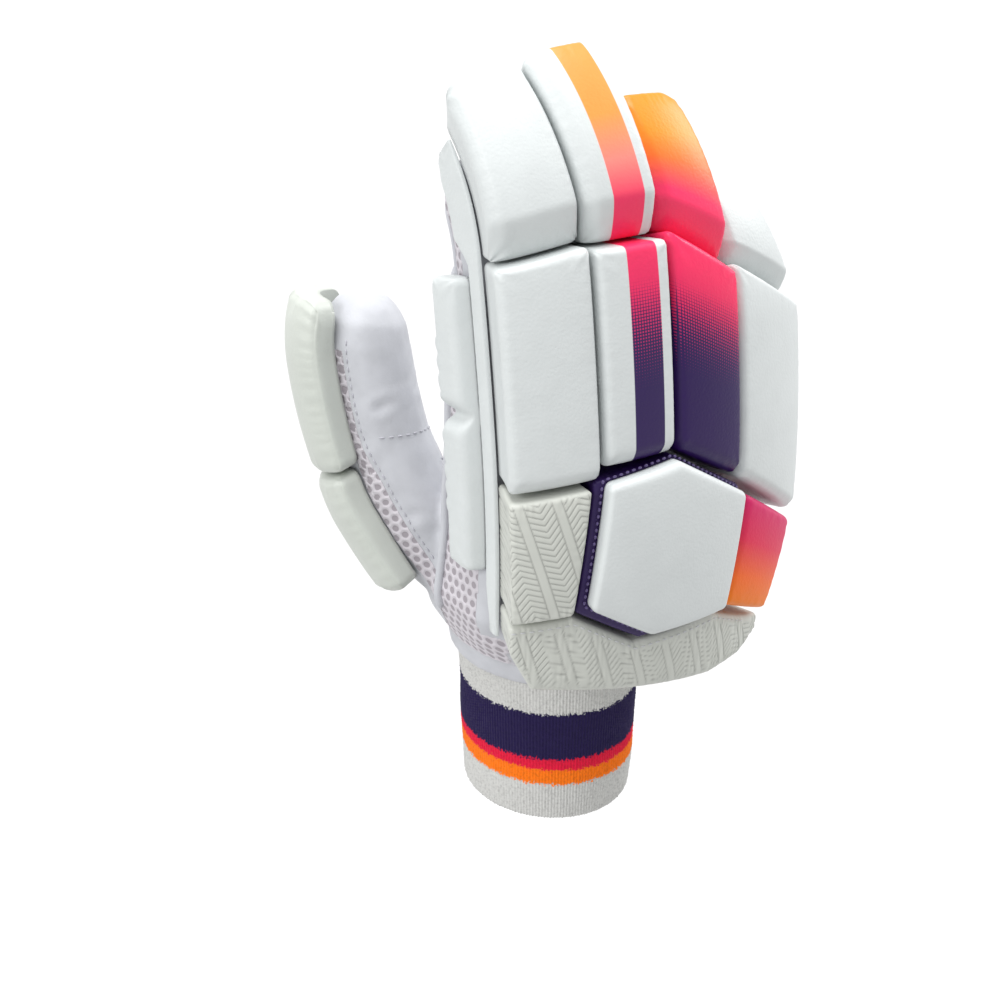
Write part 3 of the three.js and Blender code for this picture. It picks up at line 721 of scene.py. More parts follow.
def thread_material(name, tone):
    shader = Surface(name, 0.7, sheen=0.3)
    inputs = {"Vector": shader.place, "Scale": 900.0, "Distortion": 2.0}
    twist = shader.add("ShaderNodeTexWave", inputs).outputs[1]
    # Painted shade: the thread is darker in the grooves of its twist, where the bump is low.
    shader.link(shader.mix(twist, shaded(tone, 0.75), tone))
    shader.bump(twist, 0.4, 0.0002)
    return shader.material


# Stitches


def run_along(spots):
    """How far each point of a line is along it."""
    return np.concatenate([[0], np.cumsum(np.linalg.norm(np.diff(spots, axis=0), axis=1))])


def value_at(at, run, values):
    """The values of a line's points, read at places along it."""
    return np.stack([np.interp(at, run, column) for column in values.T], axis=-1)


def resampled(spots, step):
    """A line's points, laid out again a step apart."""
    spots = np.asarray(spots, float)
    run = run_along(spots)
    return value_at(np.linspace(0, run[-1], max(2, int(run[-1] / step))), run, spots)


def strip_path(place, spots, height):
    """A path of (point, normal) on a strip, through (across, along) spots."""
    across, along = resampled(spots, 1).T
    low = place(across, along, height)
    return [(a, unit(b - a)) for a, b in zip(low, place(across, along, height + 1))]


def laid_path(tree, spots):
    """A path of (point, normal) through spots, laid on the nearest surface."""
    found = (tree.find_nearest(Vector(point)) for point in resampled(spots, MM))
    return [(np.array(near), np.array(normal)) for near, normal, _, _ in found]


def stitch_bead():
    """One stitch's points and faces: a small ball, stretched later along its thread."""
    bpy.ops.mesh.primitive_uv_sphere_add(segments=8, ring_count=5, radius=1.0)
    ball = bpy.context.object
    points = np.array([v.co for v in ball.data.vertices])
    faces = [list(p.vertices) for p in ball.data.polygons]
    bpy.data.objects.remove(ball)
    return points, faces


def stitches(name, paths, material, slot, length, width):
    """Sews stitches of a length and width in mm along paths of (point, normal)."""
    length, width = length * MM, width * MM
    bead, bead_faces = stitch_bead()
    points = []
    faces = []
    for path in paths:
        spots, normals = (np.array(part, float) for part in zip(*path))
        run = run_along(spots)
        count = max(1, int(run[-1] / (length + STITCH_GAP)))
        for k in range(count):
            at = (k + 0.5) * run[-1] / count
            ahead = min(at + length / 2, run[-1])
            behind = max(at - length / 2, 0)
            normal = unit(value_at(at, run, normals))
            line = unit(value_at(ahead, run, spots) - value_at(behind, run, spots))
            cross = unit(np.cross(normal, line))
            axes = np.stack([line * length / 2, cross * width / 2, normal * width * 0.42])
            first = len(points) * len(bead)
            points.append(value_at(at, run, spots) + normal * width * 0.15 + bead @ axes)
            faces.extend([[i + first for i in face] for face in bead_faces])
    finish_piece(mesh_object(name, np.concatenate(points), faces), material, slot)


# Pieces


def roll_corners(finger, tip):
    """A roll's lower and upper line."""
    half = PAD_GAP / 2
    left = finger.left * FACE_WIDTH + half
    right = finger.right * FACE_WIDTH - half
    knuckle, joint = ([level * GLOVE_LENGTH for level in pair] for pair in (finger.knuckle, finger.joint))
    if not tip:
        lower = [(left, knuckle[0] + half), (right, knuckle[1] + half)]
        return lower, [(left, joint[0] - half), (right, joint[1] - half)]
    top = finger.top * GLOVE_LENGTH
    lower = [(left, joint[0] + half), (right, joint[1] + half)]
    return lower, [(finger.tip_left * FACE_WIDTH, top), (finger.tip_right * FACE_WIDTH, top)]


def overhang(line):
    """A line between the index roll and the pad below it, lowered to where the roll hangs."""
    return [(across, along - drop) for (across, along), drop in zip(line, OVERHANG)]


class GLOVE_OT_finger_rolls(bpy.types.Operator):
    """Builds the eight padded rolls on the backs of the fingers"""

    bl_idname = "glove.finger_rolls"
    bl_label = "Finger rolls"

    def execute(self, context):
        white = leather("white_roll_leather", colour("white"))
        for finger in FINGERS:
            for part in ("middle", "tip"):
                self.add_roll(finger, part, white)
        return {"FINISHED"}

    def add_roll(self, finger, part, white):
        name = finger.name
        tip = part == "tip"
        lower, upper = roll_corners(finger, tip)
        if name == "index" and not tip:
            lower = overhang(lower)
        paint = roll_paint(name, part, lower[1][0] - lower[0][0], upper[0][1] - lower[0][1])
        material = white
        slot = "white_leather"
        if name == "middle":
            material = leather(f"striped_{part}", paint, shine=0.3)
            slot = "striped_leather"
        elif name == "ring":
            material = leather(f"faded_{part}", paint, roughness=0.36, coat=0.25 if tip else 0.05, shine=0.25)
            slot = "faded_leather"
        pad_piece(
            f"{name}_{part}_roll_pad", material, slot, f"{name}_{part}_roll", 0.95,
            back_strip(finger).place, lower, upper, FOOT, size("pad_height") - (1 if tip else 0),
            size("edge_round"), size("crown") * (1.3 if tip else 1.0), 0.9, pucker=0.2 if tip else 0.12,
            slopes=(4.5, 2.2, 10.5, 0) if tip else (2.2, 1.6, 4, 0),
            corners=TIP_CORNERS[name] if tip else (0, 0),
            gather=1.1 if tip and name == "index" else 0.35,
        )


def herringbone(across, along):
    """Raised bars in leaning columns of nested chevrons, with a thin groove round each bar, 0 to 1."""
    lean_cos, lean_sin = 0.956, 0.292
    column, bar_pitch, spine = 11.5, 2.1, 1.5
    turned = lean_cos * across + lean_sin * along
    rise = lean_cos * along - lean_sin * across
    cell = np.floor(turned / column)
    fold = np.abs(turned / column - cell - 0.5) * column
    bar = (rise * np.where(cell % 2 == 0, 1, -1) + 0.7 * fold) / bar_pitch
    bar = np.abs(bar - np.floor(bar) - 0.5) * bar_pitch
    from_spine = column / 2 - fold - spine
    groove = np.where(from_spine < 0, -from_spine, np.minimum(bar_pitch / 2 - bar, np.abs(from_spine)))
    return np.clip((groove - 0.02) / 0.28, 0, 1)


def banded_herringbone(across, along):
    """The guard's relief, smooth in a band along its sewn upper edge."""
    line = np.array(scaled(GUARD[1]))
    below = np.interp(across, line[:, 0], line[:, 1]) - along
    return np.maximum(herringbone(across, along), np.clip((3.4 - below) / 0.4, 0, 1))


class GLOVE_OT_back_pads(bpy.types.Operator):
    """Builds the knuckle pads, the plate on its backing and the embossed cuff guard"""

    bl_idname = "glove.back_pads"
    bl_label = "Back pads"

    def execute(self, context):
        place = back_strip().place
        on_back = (FOOT, size("pad_height"))
        low = (FOOT, GUARD_HEIGHT)
        bone = leather("embossed_leather", groove_shade_paint, roughness=0.5, grain=0.12, coat=0.05)
        magenta = leather("magenta_leather", knuckle_paint, roughness=0.45, coat=0, shine=0.25)
        purple = leather("purple_leather", colour("purple"), roughness=0.5, dark=0.8, shine=0.3)
        white = leather("plate_leather", colour("white"), roughness=0.4)
        for node, lines, heights, edge, crown, step, shape, material, slot, fill in (
            ("index_knuckle_pad", INDEX_KNUCKLE, on_back, 1.4, 0.8, 0.26, {"relief": herringbone},
             bone, "embossed_leather", 0.95),
            ("cuff_guard", GUARD, low, 2.0, 0.6, 0.28, {"relief": banded_herringbone},
             bone, "embossed_leather", 0.95),
            ("little_knuckle_pad", LITTLE_KNUCKLE, on_back, 2.8, 1.0, 1.3, {},
             magenta, "magenta_leather", 0.95),
            ("plate_backing", BACKING, low, 1.2, 0.1, 1.5, {"pucker": 0.1},
             purple, "purple_leather", 0.9),
            ("hexagon_plate", PLATE, PLATE_HEIGHTS, 1.9, 1.0, 1.2, {"pucker": 0.05, "pinch": 0.0},
             white, "white_leather", 0.95),
        ):
            lower, upper = map(scaled, lines)
            upper = overhang(upper) if node == "index_knuckle_pad" else upper
            pad_piece(
                f"{node}_skin", material, slot, node, fill,
                place, lower, upper, *heights, edge, crown, step, **shape,
            )
        self.stitch(place)
        return {"FINISHED"}

    def stitch(self, place):
        """Sews round the plate, outside its edge."""
        centre = np.array([-0.02 * FACE_WIDTH, 0.435 * GLOVE_LENGTH])
        edge = np.array(scaled(PLATE[0]) + scaled(PLATE[1])[::-1])
        edge += 0.9 * unit(edge - centre)
        ring = strip_path(place, [*edge, edge[0]], GUARD_HEIGHT)
        thread = thread_material("purple_thread", (0.13, 0.09, 0.26, 1))
        stitches("plate_stitches", [ring], thread, "purple_leather", 1.3, 0.9)


def side_pad(node, start, end, front, wide, gap, thickness, edge, notch, material):
    """A pad on the index finger's side, whose thickness runs across the strip. wide is its width's table."""
    strip = back_strip(FINGERS[0])
    widest = max(value for _, value in wide)
    inner = SIDE_FACE - gap

    def place(behind, along, across):
        part = (along / GLOVE_LENGTH - start) / (end - start)
        near_notch = bell((part - NOTCH_AT) / 0.03, 1)
        dent = notch * near_notch * np.clip(across / thickness, 0, 1)
        rear = behind / widest
        height = front - rear * look_up(wide, part)
        if notch:
            bumps = np.abs(np.sin(part * 16 * np.pi)) * bell((1 - rear) / 0.22, 1)
            height = height - 1.3 * bumps * (np.abs(part - 0.5) < 0.3) + 2.2 * near_notch * rear
        return strip.place(inner - np.maximum(across - dent, 0), along, height)

    lower, upper = ([(0, level * GLOVE_LENGTH), (widest, level * GLOVE_LENGTH)] for level in (start, end))
    pad_piece(
        f"{node}_skin", material, "white_leather", node, 0.9,
        place, lower, upper, 0.1, thickness, edge, 0.4, 0.9, pucker=0.12, pinch=0.0, gather=0.5,
    )


class GLOVE_OT_side_pads(bpy.types.Operator):
    """Builds the long welt and the notched bar on the index finger's side"""

    bl_idname = "glove.side_pads"
    bl_label = "Side pads"

    def execute(self, context):
        white = leather("side_leather", colour("white"), roughness=0.45)
        side_pad("side_welt", 0.32, 0.972, -0.05, WELT_WIDE, 0.3, 1.9, 0.8, 0, white)
        side_pad("side_bar", 0.402, 0.782, -6.4, BAR_WIDE, 0.6, 8.4, 2.6, 4.6, white)
        return {"FINISHED"}


def thumb_frame(strip, share):
    """The thumb's middle line, its outward and its sideways direction at shares up it, in mm."""
    centre = strip.place(0, share * THUMB_LENGTH, -THUMB_RADIUS) / MM
    out = unit(strip.place(0, share * THUMB_LENGTH, 0) / MM - centre)
    return centre, out, unit(np.cross(strip.up, out))


def round_thumb(strip, share, turn, reach):
    """Points at a reach from the thumb's middle line, at shares up it and turns round it, in metres."""
    centre, out, side = thumb_frame(strip, share)
    turn = turn[..., None]
    return (centre + (side * np.sin(turn) + out * np.cos(turn)) * reach) * MM


class GLOVE_OT_thumb_pads(bpy.types.Operator):
    """Builds the thumb's two pads, gathered at the tip"""

    bl_idname = "glove.thumb_pads"
    bl_label = "Thumb pads"

    def execute(self, context):
        cream = leather("cream_leather", CREAM, roughness=0.44)
        self.add_pad("thumb_base_pad", 0.17, 0.54, 50, 0, (0, 0), cream)
        self.add_pad("thumb_tip_pad", 0.552, 1.03, 56, 0.8, (6, 6), cream)
        return {"FINISHED"}

    def add_pad(self, node, start, end, half_turn, top_gather, corners, material):
        strip = thumb_strip()
        low = start * THUMB_LENGTH
        high = end * THUMB_LENGTH
        reach = math.radians(half_turn) * THUMB_PAD_RADIUS

        def place(across, along, height):
            share = along / THUMB_LENGTH
            wide = THUMB_RADIUS * np.maximum(0.9, look_up(THUMB_WIDE, np.minimum(share, 0.86)))
            return round_thumb(strip, share, across / THUMB_PAD_RADIUS, (wide + height)[..., None])

        def gathers(across, along):
            depth = top_gather * bell(along - high, 60) + 0.3 * bell(along - low, 20)
            return -depth * wave(across * 1.15 + np.sin(along * 0.4))

        pad_piece(
            f"{node}_skin", material, "cream_leather", node, 0.9,
            place, [(-reach, low), (reach, low)], [(-reach, high), (reach, high)],
            FOOT, THUMB_PAD_HEIGHT, 3.6, 1.2, 1.0, gathers, pucker=0.5, corners=corners,
        )


def thumb_border(share):
    """The angle round the thumb at which its net strip meets the leather."""
    return 65 + 11 * smooth((0.66 - share) / 0.2)


def skin_material():
    """Palm leather with net panels where the skin's net attribute says, and rows of small holes."""
    shader = Surface("palm_leather", 0.6, sheen=0.05)
    grain = shader.group(leather_grain_group(), Vector=shader.place, Scale=GRAIN_SCALE)
    where = shader.parts(shader.place)
    flat = shader.parts(shader.print_map())
    net = shader.group(net_group(), Across=flat[0], Along=flat[1], Pitch=0.038, Radius=0.31)
    dots = shader.group(net_group(), Across=where[0], Along=where[2], Pitch=0.0062, Radius=0.085)
    is_net = shader.mask("net")
    dot = shader.times(dots["Hole"], shader.mask("pierced"))
    palm = colour("palm")
    hide = shader.mix(shader.step(grain["Tone"], 0.3, 0.65), shaded(palm, 0.9), palm)
    hide = shader.mix(dot, hide, (0.16, 0.15, 0.18, 1))
    yarn = shader.mix(net["Hole"], NET_LIGHT, NET_DARK)
    shader.link(shader.mix(is_net, hide, yarn))
    fine = shader.minus(shader.times(grain["Height"], 0.12), dot)
    relief = shader.add("ShaderNodeMix", {0: is_net, 2: fine, 3: net["Height"]}).outputs[0]
    shader.bump(relief, 0.7, 0.0006)
    return shader.material


def mark_panels(mesh):
    """Writes the net and pierced attributes and a flat map of the net's own plane."""
    spot = vertex_values(mesh, "co") / MM
    facing_x, facing_y, _ = vertex_values(mesh, "normal").T
    x, y, z = spot.T
    shares = np.linspace(0.1, 1, 60)
    centre, out, side = thumb_frame(thumb_strip(), shares)
    gaps = np.linalg.norm(spot[:, None] - centre[None], axis=-1)
    nearest = gaps.argmin(axis=1)
    away = spot - centre[nearest]
    angle = np.degrees(np.arctan2((away * side[nearest]).sum(1), (away * out[nearest]).sum(1)))
    move = centre[1] - centre[0]
    step = np.clip((away * move).sum(1) / (move**2).sum(), -0.6, 0.6)
    share = shares[nearest] + step * (shares[1] - shares[0])
    on_thumb = (gaps.min(axis=1) < THUMB_RADIUS + 4) & (x < -28 - 0.05 * (z - 80)) & (y > 4)
    # The thumb's net: a strip along its pads and an oval on its palm side, in degrees round it.
    blur = 8
    strip_net = np.minimum(angle - 50, thumb_border(share) - angle) / blur + 0.5
    oval_half = 44 * np.sqrt(np.clip(1 - ((share - 0.56) / 0.4) ** 2, 0, 1))
    oval = (oval_half - np.abs(angle + 98)) / blur + 0.5
    thumb_net = np.where(share < 0.9, np.maximum(strip_net, oval), 0)
    # Elsewhere the walls between the palm and the back are net, but not close behind the welt.
    wrist_top, bare_low, bare_bend = 64, 78, 104
    spine = back_strip().spine
    behind = y - np.interp(z, spine[:, 2], spine[:, 1])
    bare = (x < 0) & (behind < np.where(z < bare_bend, 21, 25)) & (z > bare_low)
    walls = np.where((z > wrist_top) & ~bare, (np.abs(facing_x) - 0.66) * 5 + 0.5, 0)
    # Holes: the fingers' fronts, and an oval panel in the palm.
    fingers = (z > 176) & (facing_y > 0.86)
    panel = (np.hypot(x - 10, (z - 112) / 1.25) < 17) & (facing_y > 0.3)
    for label, values in (("net", np.where(on_thumb, thumb_net, walls)), ("pierced", fingers | panel)):
        layer = mesh.attributes.new(label, "FLOAT", "POINT")
        layer.data.foreach_set("value", np.clip(values, 0.0, 1.0))
    across = np.where(on_thumb, np.radians(angle) * THUMB_RADIUS, y)
    add_print_map(mesh, np.stack([across, np.where(on_thumb, share * THUMB_LENGTH, z)], axis=-1) / 100)


def crease(spot, start, end, depth, width):
    """How deep a fold between two points presses each spot, in mm."""
    start = np.asarray(start)
    line = np.asarray(end) - start
    part = np.clip(((spot - start) @ line) / (line @ line), 0, 1)
    gap = np.linalg.norm(spot - (start + part[:, None] * line), axis=1)
    fade = np.sin(np.pi * np.clip(part, 0.02, 0.98)) ** 0.5
    return depth * fade * (bell(gap / width, 1) - 0.45 * bell((gap - 2 * width) / width, 1))


class GLOVE_OT_leather_hand(bpy.types.Operator):
    """Joins the palm, the finger stalls and the thumb into one hollow leather skin"""

    bl_idname = "glove.leather_hand"
    bl_label = "Leather hand"

    def execute(self, context):
        hand = self.join_nodes()
        self.apply(hand, "DISPLACE", strength=0.35 * MM, mid_level=0.0)
        self.apply(hand, "REMESH", mode="VOXEL", voxel_size=size("leather_voxel") * MM)
        self.apply(hand, "SMOOTH", factor=0.5, iterations=7)
        self.fold(hand.data)
        hand.data.polygons.foreach_set("use_smooth", [True] * len(hand.data.polygons))
        mark_panels(hand.data)
        finish_piece(hand, skin_material(), "palm_leather", LEATHER_NODES, fill=0.5)
        self.seams(hand)
        return {"FINISHED"}

    def join_nodes(self):
        """A copy of the leather nodes as one mesh."""
        copies = []
        for node in LEATHER_NODES:
            copy = FRAME["nodes"][node].copy()
            copy.data = copy.data.copy()
            copy.parent = None
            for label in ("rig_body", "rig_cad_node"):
                if label in copy:
                    del copy[label]
            bpy.context.scene.collection.objects.link(copy)
            copies.append(copy)
        select_only(*copies)
        bpy.ops.object.join()
        hand = copies[0]
        hand.name = "leather_hand"
        hand.data.name = "leather_hand"
        bpy.ops.object.mode_set(mode="EDIT")
        bpy.ops.mesh.select_all(action="SELECT")
        bpy.ops.mesh.remove_doubles(threshold=0.02 * MM)
        bpy.ops.object.mode_set(mode="OBJECT")
        return hand

    def apply(self, piece, kind, **settings):
        modifier = piece.modifiers.new(kind.lower(), kind)
        for key, value in settings.items():
            setattr(modifier, key, value)
        select_only(piece)
        bpy.ops.object.modifier_apply(modifier=modifier.name)

    def fold(self, mesh):
        """Presses the folds and a slight rumple into the leather."""
        spot = vertex_values(mesh, "co") / MM
        normal = vertex_values(mesh, "normal")
        x, y, z = spot.T
        rumple = 0.22 * np.sin(x * 0.21 + 1.3 * np.sin(z * 0.11)) * np.sin(z * 0.17 + 0.9 * np.sin(y * 0.2))
        depth = sum(crease(spot, *fold) for fold in FOLDS) + rumple * (normal[:, 1] > -0.4)
        mesh.vertices.foreach_set("co", ((spot - normal * depth[:, None]) * MM).ravel())
        mesh.update()

    def seams(self, hand):
        """Sews the thumb and adds the pipings."""
        corners = [v.co.copy() for v in hand.data.vertices]
        tree = BVHTree.FromPolygons(corners, [tuple(p.vertices) for p in hand.data.polygons])
        strip = thumb_strip()
        shares = np.linspace(0.2, 0.93, 40)
        across = np.linspace(0, 1, 20)
        base = np.array([(-30, 22, 82), (-22, 26, 92), (-20, 24, 110), (-24, 16, 126), (-32, 8, 134)], float)
        lines = (
            round_thumb(strip, shares, np.radians(thumb_border(shares) + 5), 16),
            round_thumb(strip, 0.62 - 0.05 * across, np.radians(88 + 100 * across), 16),
            base * MM,
            (base + (2.2, 0, 0)) * MM,
        )
        paths = [laid_path(tree, line) for line in lines]
        thread = thread_material("grey_thread", (0.55, 0.55, 0.6, 1))
        stitches("leather_stitches", paths, thread, "palm_leather", 1.9, 0.6)
        edge = back_strip(FINGERS[0]).place(-58, np.linspace(0.3, 0.79, 60) * GLOVE_LENGTH, -31)
        lilac = leather("piping_leather", colour("palm"), roughness=0.6, coat=0)
        self.piping("palm_edge_piping", laid_path(tree, edge), 1.5 * MM, lilac)
        for finger in FINGERS:
            self.piping(f"{finger.name}_front_piping", laid_path(tree, self.arch(finger)), 0.8 * MM, lilac)

    def arch(self, finger):
        """The line round a finger's front: up one side, over below the tip and down the other."""
        centre = (finger.left + finger.right) / 2 * FACE_WIDTH
        lean = (finger.tip_left + finger.tip_right) / 2 * FACE_WIDTH - centre
        low = WEB_LEVEL * GLOVE_LENGTH - WEB_SLOPE * centre + 4
        top = finger.top * GLOVE_LENGTH - 20
        turn = np.linspace(math.pi, 0, 60)
        up = np.abs(np.sin(turn)) ** 0.7
        half = min(finger.right - finger.left, 0.26) * FACE_WIDTH / 2 - 5
        reach = half * np.sign(np.cos(turn)) * np.abs(np.cos(turn)) ** 0.5
        return back_strip(finger).place(centre + lean * 0.7 * up + reach, low + (top - low) * up, -24)

    def piping(self, name, path, radius, material):
        """A round welt of leather along a path of (point, normal)."""
        spots, normals = (np.array(part, float) for part in zip(*path))
        for _ in range(6):
            for values in (spots, normals):
                values[1:-1] = (values[:-2] + values[1:-1] + values[2:]) / 3
        line = np.gradient(spots, axis=0)
        cross = unit(np.cross(normals, line))
        normals = unit(np.cross(line, cross))
        sides = 10
        turn = np.linspace(0, 2 * math.pi, sides, endpoint=False)
        thick = np.full(len(spots), radius)
        thick[[0, 1, -2, -1]] *= [0.1, 0.7, 0.7, 0.1]
        ring = cross[:, None] * np.cos(turn)[:, None] + normals[:, None] * np.sin(turn)[:, None]
        points = spots[:, None] + normals[:, None] * radius * 0.4 + ring * thick[:, None, None]
        number = np.arange(len(spots) * sides).reshape(-1, sides)
        ahead = np.roll(number, -1, axis=1)
        quads = np.stack([number[:-1], ahead[:-1], ahead[1:], number[1:]], axis=-1).reshape(-1, 4).tolist()
        quads += [number[0][::-1].tolist(), number[-1].tolist()]
        finish_piece(mesh_object(name, points, quads), material, "palm_leather")


def knit_material():
    """Towelling knit: white with a purple band and red and orange stripes, ragged at their edges."""
    shader = Surface("cuff_knit", 0.95, sheen=0.05)
    loops = shader.noise(shader.place, 1100.0, 3.0, 0.65)
    ragged = shader.times(shader.minus(loops, 0.5), 0.006)
    height = shader.math("ADD", shader.parts(shader.place)[2], ragged)
    height = shader.math("DIVIDE", height, CUFF_HEIGHT * MM)
    bands = shader.bands(height, [start / CUFF_HEIGHT for start in CUFF_BANDS])
    # Painted shade: darker between the loops, where the bump is low.
    shade = shader.ramp(loops, ((0.28, grey(0.72)), (0.55, grey(1))))
    shader.link(shader.mix(1.0, bands, shade, "MULTIPLY"))
    shader.bump(loops, 0.5, 0.0006)
    return shader.material


class GLOVE_OT_knit_cuff(bpy.types.Operator):
    """Builds the towelling cuff with its ribs and rolled rim"""

    bl_idname = "glove.knit_cuff"
    bl_label = "Knit cuff"

    def execute(self, context):
        ribs = 176
        around = ribs * 4
        course_height = 1.05
        rib_depth, loop_depth, sag_depth = 0.12, 0.55, 0.22
        turn = np.linspace(0, 2 * math.pi, around, endpoint=False)
        wall = CUFF_WALL / 2
        rim = np.linspace(0.1, math.pi - 0.1, 9)
        profile = [(0.0, z) for z in np.linspace(CUFF_HEIGHT, wall * 1.2, 112)]
        profile += [(-wall + wall * math.cos(a), wall - wall * math.sin(a)) for a in rim]
        profile += [(-CUFF_WALL, z) for z in np.linspace(wall * 1.2, CUFF_HEIGHT, 20)]
        inset, height = (np.array(column)[:, None] for column in zip(*profile))
        height = height * np.ones((1, around))
        wale = np.floor(turn * ribs / (2 * math.pi) + 0.5)[None, :] % ribs
        rib = 0.5 + 0.5 * np.cos(turn * ribs)[None, :]
        course = height / course_height + 0.5 * (wale % 2)
        loop = 0.5 + 0.5 * np.cos(course * 2 * math.pi)
        # Each loop's own number from 0 to 1, scattered by its wale and course.
        chance = np.sin(wale * 12.9898 + np.floor(course + 0.5) * 78.233) * 43758.5453
        chance = chance - np.floor(chance)
        outside = np.clip((inset + CUFF_WALL) / 0.5, 0, 1)
        sag = np.sin(height / 8.0 + 0.9 * np.sin(turn * 2)[None, :])
        sag += 0.5 * np.sin(height / 4.1 + 2 * np.sin(turn)[None, :])
        towelling = loop_depth * rib * loop * (0.45 + 0.75 * chance)
        lumps = outside * (towelling + rib_depth * rib + sag_depth * sag)
        points = on_cuff(turn, height, inset + lumps - 0.4)
        number = np.arange(len(profile) * around).reshape(-1, around)
        ahead = np.roll(number, -1, axis=1)
        below = np.roll(number, -1, axis=0)
        quads = np.stack([number, below, np.roll(below, -1, axis=1), ahead], axis=-1).reshape(-1, 4)
        finish_piece(mesh_object("cuff_towelling", points, quads), knit_material(), "cuff_knit", ["cuff"])
        return {"FINISHED"}


def on_cuff(turn, height, out):
    """Points at a turn and a height on the cuff, and some way out from it, in metres."""
    narrow = CUFF_RIM + (1 - CUFF_RIM) * height / CUFF_HEIGHT
    x = (CUFF_WIDTH / 2 * narrow + out) * np.cos(turn)
    y = (CUFF_DEPTH / 2 * narrow + out) * np.sin(turn)
    return np.stack([x, y, height], axis=-1) * MM


def strap_material():
    """Woven elastic: a purple band over a red and an orange stripe."""
    shader = Surface("strap_web", 0.85, sheen=0.05)
    height = shader.minus(shader.parts(shader.place)[2], STRAP_LOW * MM)
    bands = shader.bands(shader.math("DIVIDE", height, STRAP_WIDTH * MM), STRAP_BANDS)
    inputs = {"Vector": shader.place, "Scale": 420.0}
    weave = shader.add("ShaderNodeTexWave", inputs, bands_direction="Z").outputs[1]
    # Painted shade: darker in the grooves of the weave, where the bump is low.
    shade = shader.ramp(weave, ((0.1, grey(0.6)), (0.7, grey(1))))
    shader.link(shader.mix(1.0, bands, shade, "MULTIPLY"))
    shader.bump(weave, 0.6, 0.0005)
    return shader.material


def cuff_band(name, node, start, end, low, high, inner, thickness, taper, material, slot):
    """A band laid round the cuff's palm side between two angles, with rounded edges."""
    def place(across, along, out):
        return on_cuff(np.radians(across), along, out)

    pad_piece(
        name, material, slot, node, None,
        place, [(end, low + taper), (start, low)], [(end, high - taper), (start, high)],
        inner, inner + thickness, 0.7, 0.1, 1.2, pucker=0.0, pinch=0.0,
    )


class GLOVE_OT_wrist_strap(bpy.types.Operator):
    """Builds the elastic strap and its white tab with a sewn edge"""

    bl_idname = "glove.wrist_strap"
    bl_label = "Wrist strap"

    def execute(self, context):
        low = STRAP_LOW
        high = STRAP_LOW + STRAP_WIDTH
        web = strap_material()
        white = leather("tab_leather", colour("white"), roughness=0.5)
        cuff_band("strap_elastic", "strap", 8, 112, low, high, FOOT, 2.4, 0, web, "strap_web")
        low -= TAB_LAP
        high += TAB_LAP
        cuff_band("strap_tab_skin", "strap_tab", 48, 108, low, high, 3.1, 2.0, 2.5, white, "white_leather")
        self.stitch()
        return {"FINISHED"}

    def stitch(self):
        """Sews round the tab, inside its edge, through (degrees round the cuff, mm up it) corners."""
        edge = np.array([(50, 12.5), (106, 14.5), (106, 39.5), (50, 41.5), (50, 12.5)])
        path = []
        for start, end in zip(edge, edge[1:]):
            for part in np.linspace(0, 1, 24, endpoint=False):
                degrees, up = start + (end - start) * part
                turn = math.radians(degrees)
                normal = np.array([math.cos(turn), math.sin(turn), 0])
                path.append((on_cuff(turn, up, 5.05), normal))
        thread = thread_material("white_thread", (0.62, 0.64, 0.68, 1))
        stitches("tab_stitches", [path], thread, "white_leather", 2.0, 0.6)


class GLOVE_OT_edge_trim(bpy.types.Operator):
    """Sews the guard's top edge"""

    bl_idname = "glove.edge_trim"
    bl_label = "Edge stitching"

    def execute(self, context):
        thread = thread_material("edge_thread", (0.66, 0.67, 0.68, 1))
        upper = [(across, along - 1.6) for across, along in scaled(GUARD[1])][:5]
        paths = [strip_path(back_strip().place, upper, GUARD_HEIGHT)]
        stitches("edge_stitches", paths, thread, "white_leather", 1.9, 0.55)
        return {"FINISHED"}


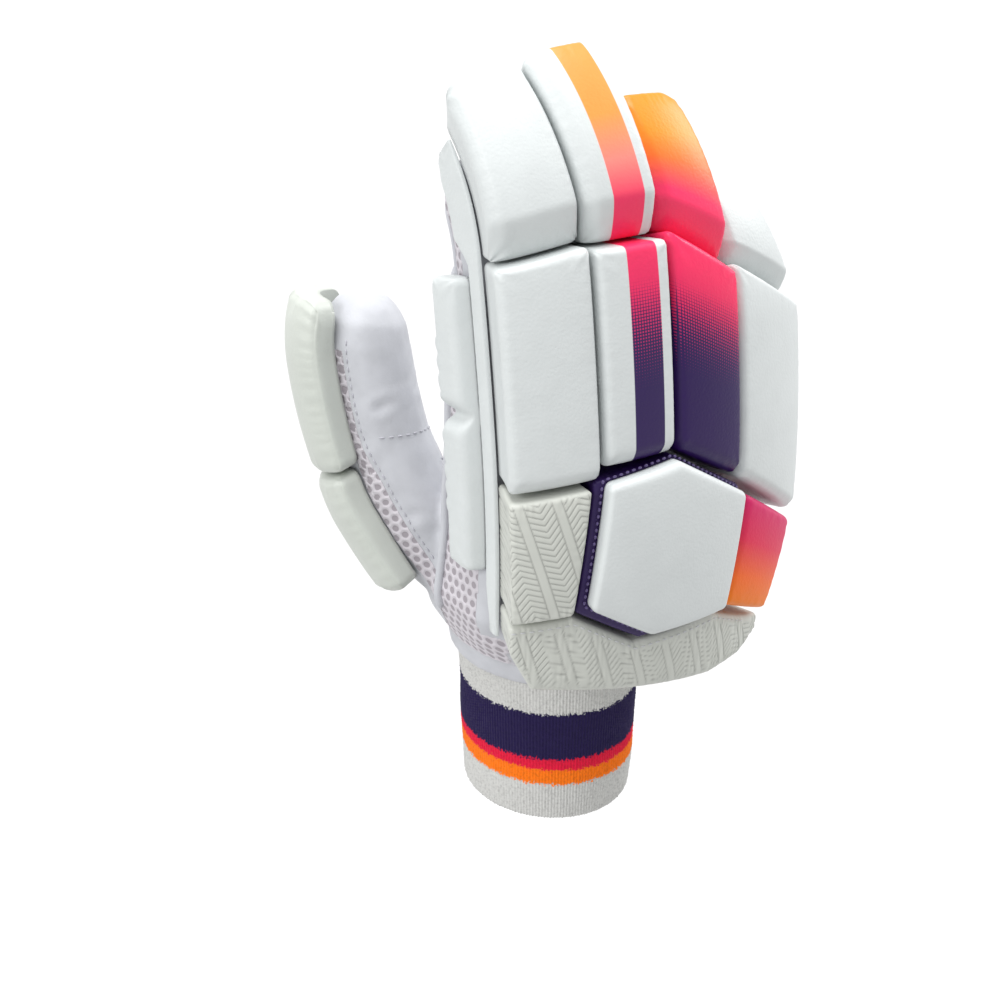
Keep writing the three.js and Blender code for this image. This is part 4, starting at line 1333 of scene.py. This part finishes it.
class GLOVE_OT_stage(bpy.types.Operator):
    """Adds the pale ground, the soft lights and the camera"""

    bl_idname = "glove.stage"
    bl_label = "Stage"

    def execute(self, context):
        bpy.ops.mesh.primitive_plane_add(size=60.0, location=(0, 0, -0.6))
        ground = context.object
        ground.name = "ground"
        ground.data.transform(ground.matrix_world)
        ground.matrix_world.identity()
        shader = Surface("pale_ground", 0.9, shine=0.0)
        shader.link(shader.mix(shader.noise(shader.place, 3.0), grey(0.53), grey(0.55)))
        ground.data.materials.append(shader.material)
        ground.visible_diffuse = False
        world = bpy.data.worlds.new("soft_room")
        context.scene.world = world
        world.use_nodes = True
        tone, strength = world.node_tree.nodes["Background"].inputs[:2]
        tone.default_value = grey(1.0)
        strength.default_value = WORLD_STRENGTH
        context.scene.view_settings.view_transform = "Standard"
        for name, place, strength, width in SUNS:
            light = bpy.data.lights.new(name, "SUN")
            light.energy = strength
            light.angle = math.radians(width)
            lamp = bpy.data.objects.new(name, light)
            lamp.rotation_euler = (-Vector(place)).to_track_quat("-Z", "Y").to_euler()
            context.scene.collection.objects.link(lamp)
        view = bpy.data.cameras.new("camera")
        view.sensor_width = SENSOR_WIDTH
        view.lens = LENS
        camera = bpy.data.objects.new("camera", view)
        camera.location = CAMERA_PLACE
        camera.rotation_euler = Vector(CAMERA_AIM).to_track_quat("-Z", "Y").to_euler()
        context.scene.collection.objects.link(camera)
        context.scene.camera = camera
        return {"FINISHED"}


class GLOVE_PT_panel(bpy.types.Panel):
    """Lists the glove's sizes, colours and pieces"""

    bl_idname = "GLOVE_PT_panel"
    bl_label = "Batting glove"
    bl_space_type = "VIEW_3D"
    bl_region_type = "UI"
    bl_category = "Glove"

    def draw(self, context):
        for group in (context.scene.glove_sizes, context.scene.glove_colours):
            for key in group.__annotations__:
                self.layout.prop(group, key)
        for operator in OPERATORS:
            self.layout.operator(operator.bl_idname)


OPERATORS = (
    GLOVE_OT_stage,
    GLOVE_OT_finger_rolls,
    GLOVE_OT_back_pads,
    GLOVE_OT_side_pads,
    GLOVE_OT_thumb_pads,
    GLOVE_OT_leather_hand,
    GLOVE_OT_knit_cuff,
    GLOVE_OT_wrist_strap,
    GLOVE_OT_edge_trim,
)
CLASSES = (GloveSizes, GloveColours, *OPERATORS, GLOVE_PT_panel)


def register():
    for one in CLASSES:
        bpy.utils.register_class(one)
    bpy.types.Scene.glove_sizes = bpy.props.PointerProperty(type=GloveSizes)
    bpy.types.Scene.glove_colours = bpy.props.PointerProperty(type=GloveColours)


def unregister():
    del bpy.types.Scene.glove_colours
    del bpy.types.Scene.glove_sizes
    for one in reversed(CLASSES):
        bpy.utils.unregister_class(one)


def main():
    register()
    bpy.ops.glove.stage()
    bpy.ops.glove.finger_rolls()
    bpy.ops.glove.back_pads()
    bpy.ops.glove.side_pads()
    bpy.ops.glove.thumb_pads()
    bpy.ops.glove.leather_hand()
    bpy.ops.glove.knit_cuff()
    bpy.ops.glove.wrist_strap()
    bpy.ops.glove.edge_trim()


if __name__ == "__main__":
    main()
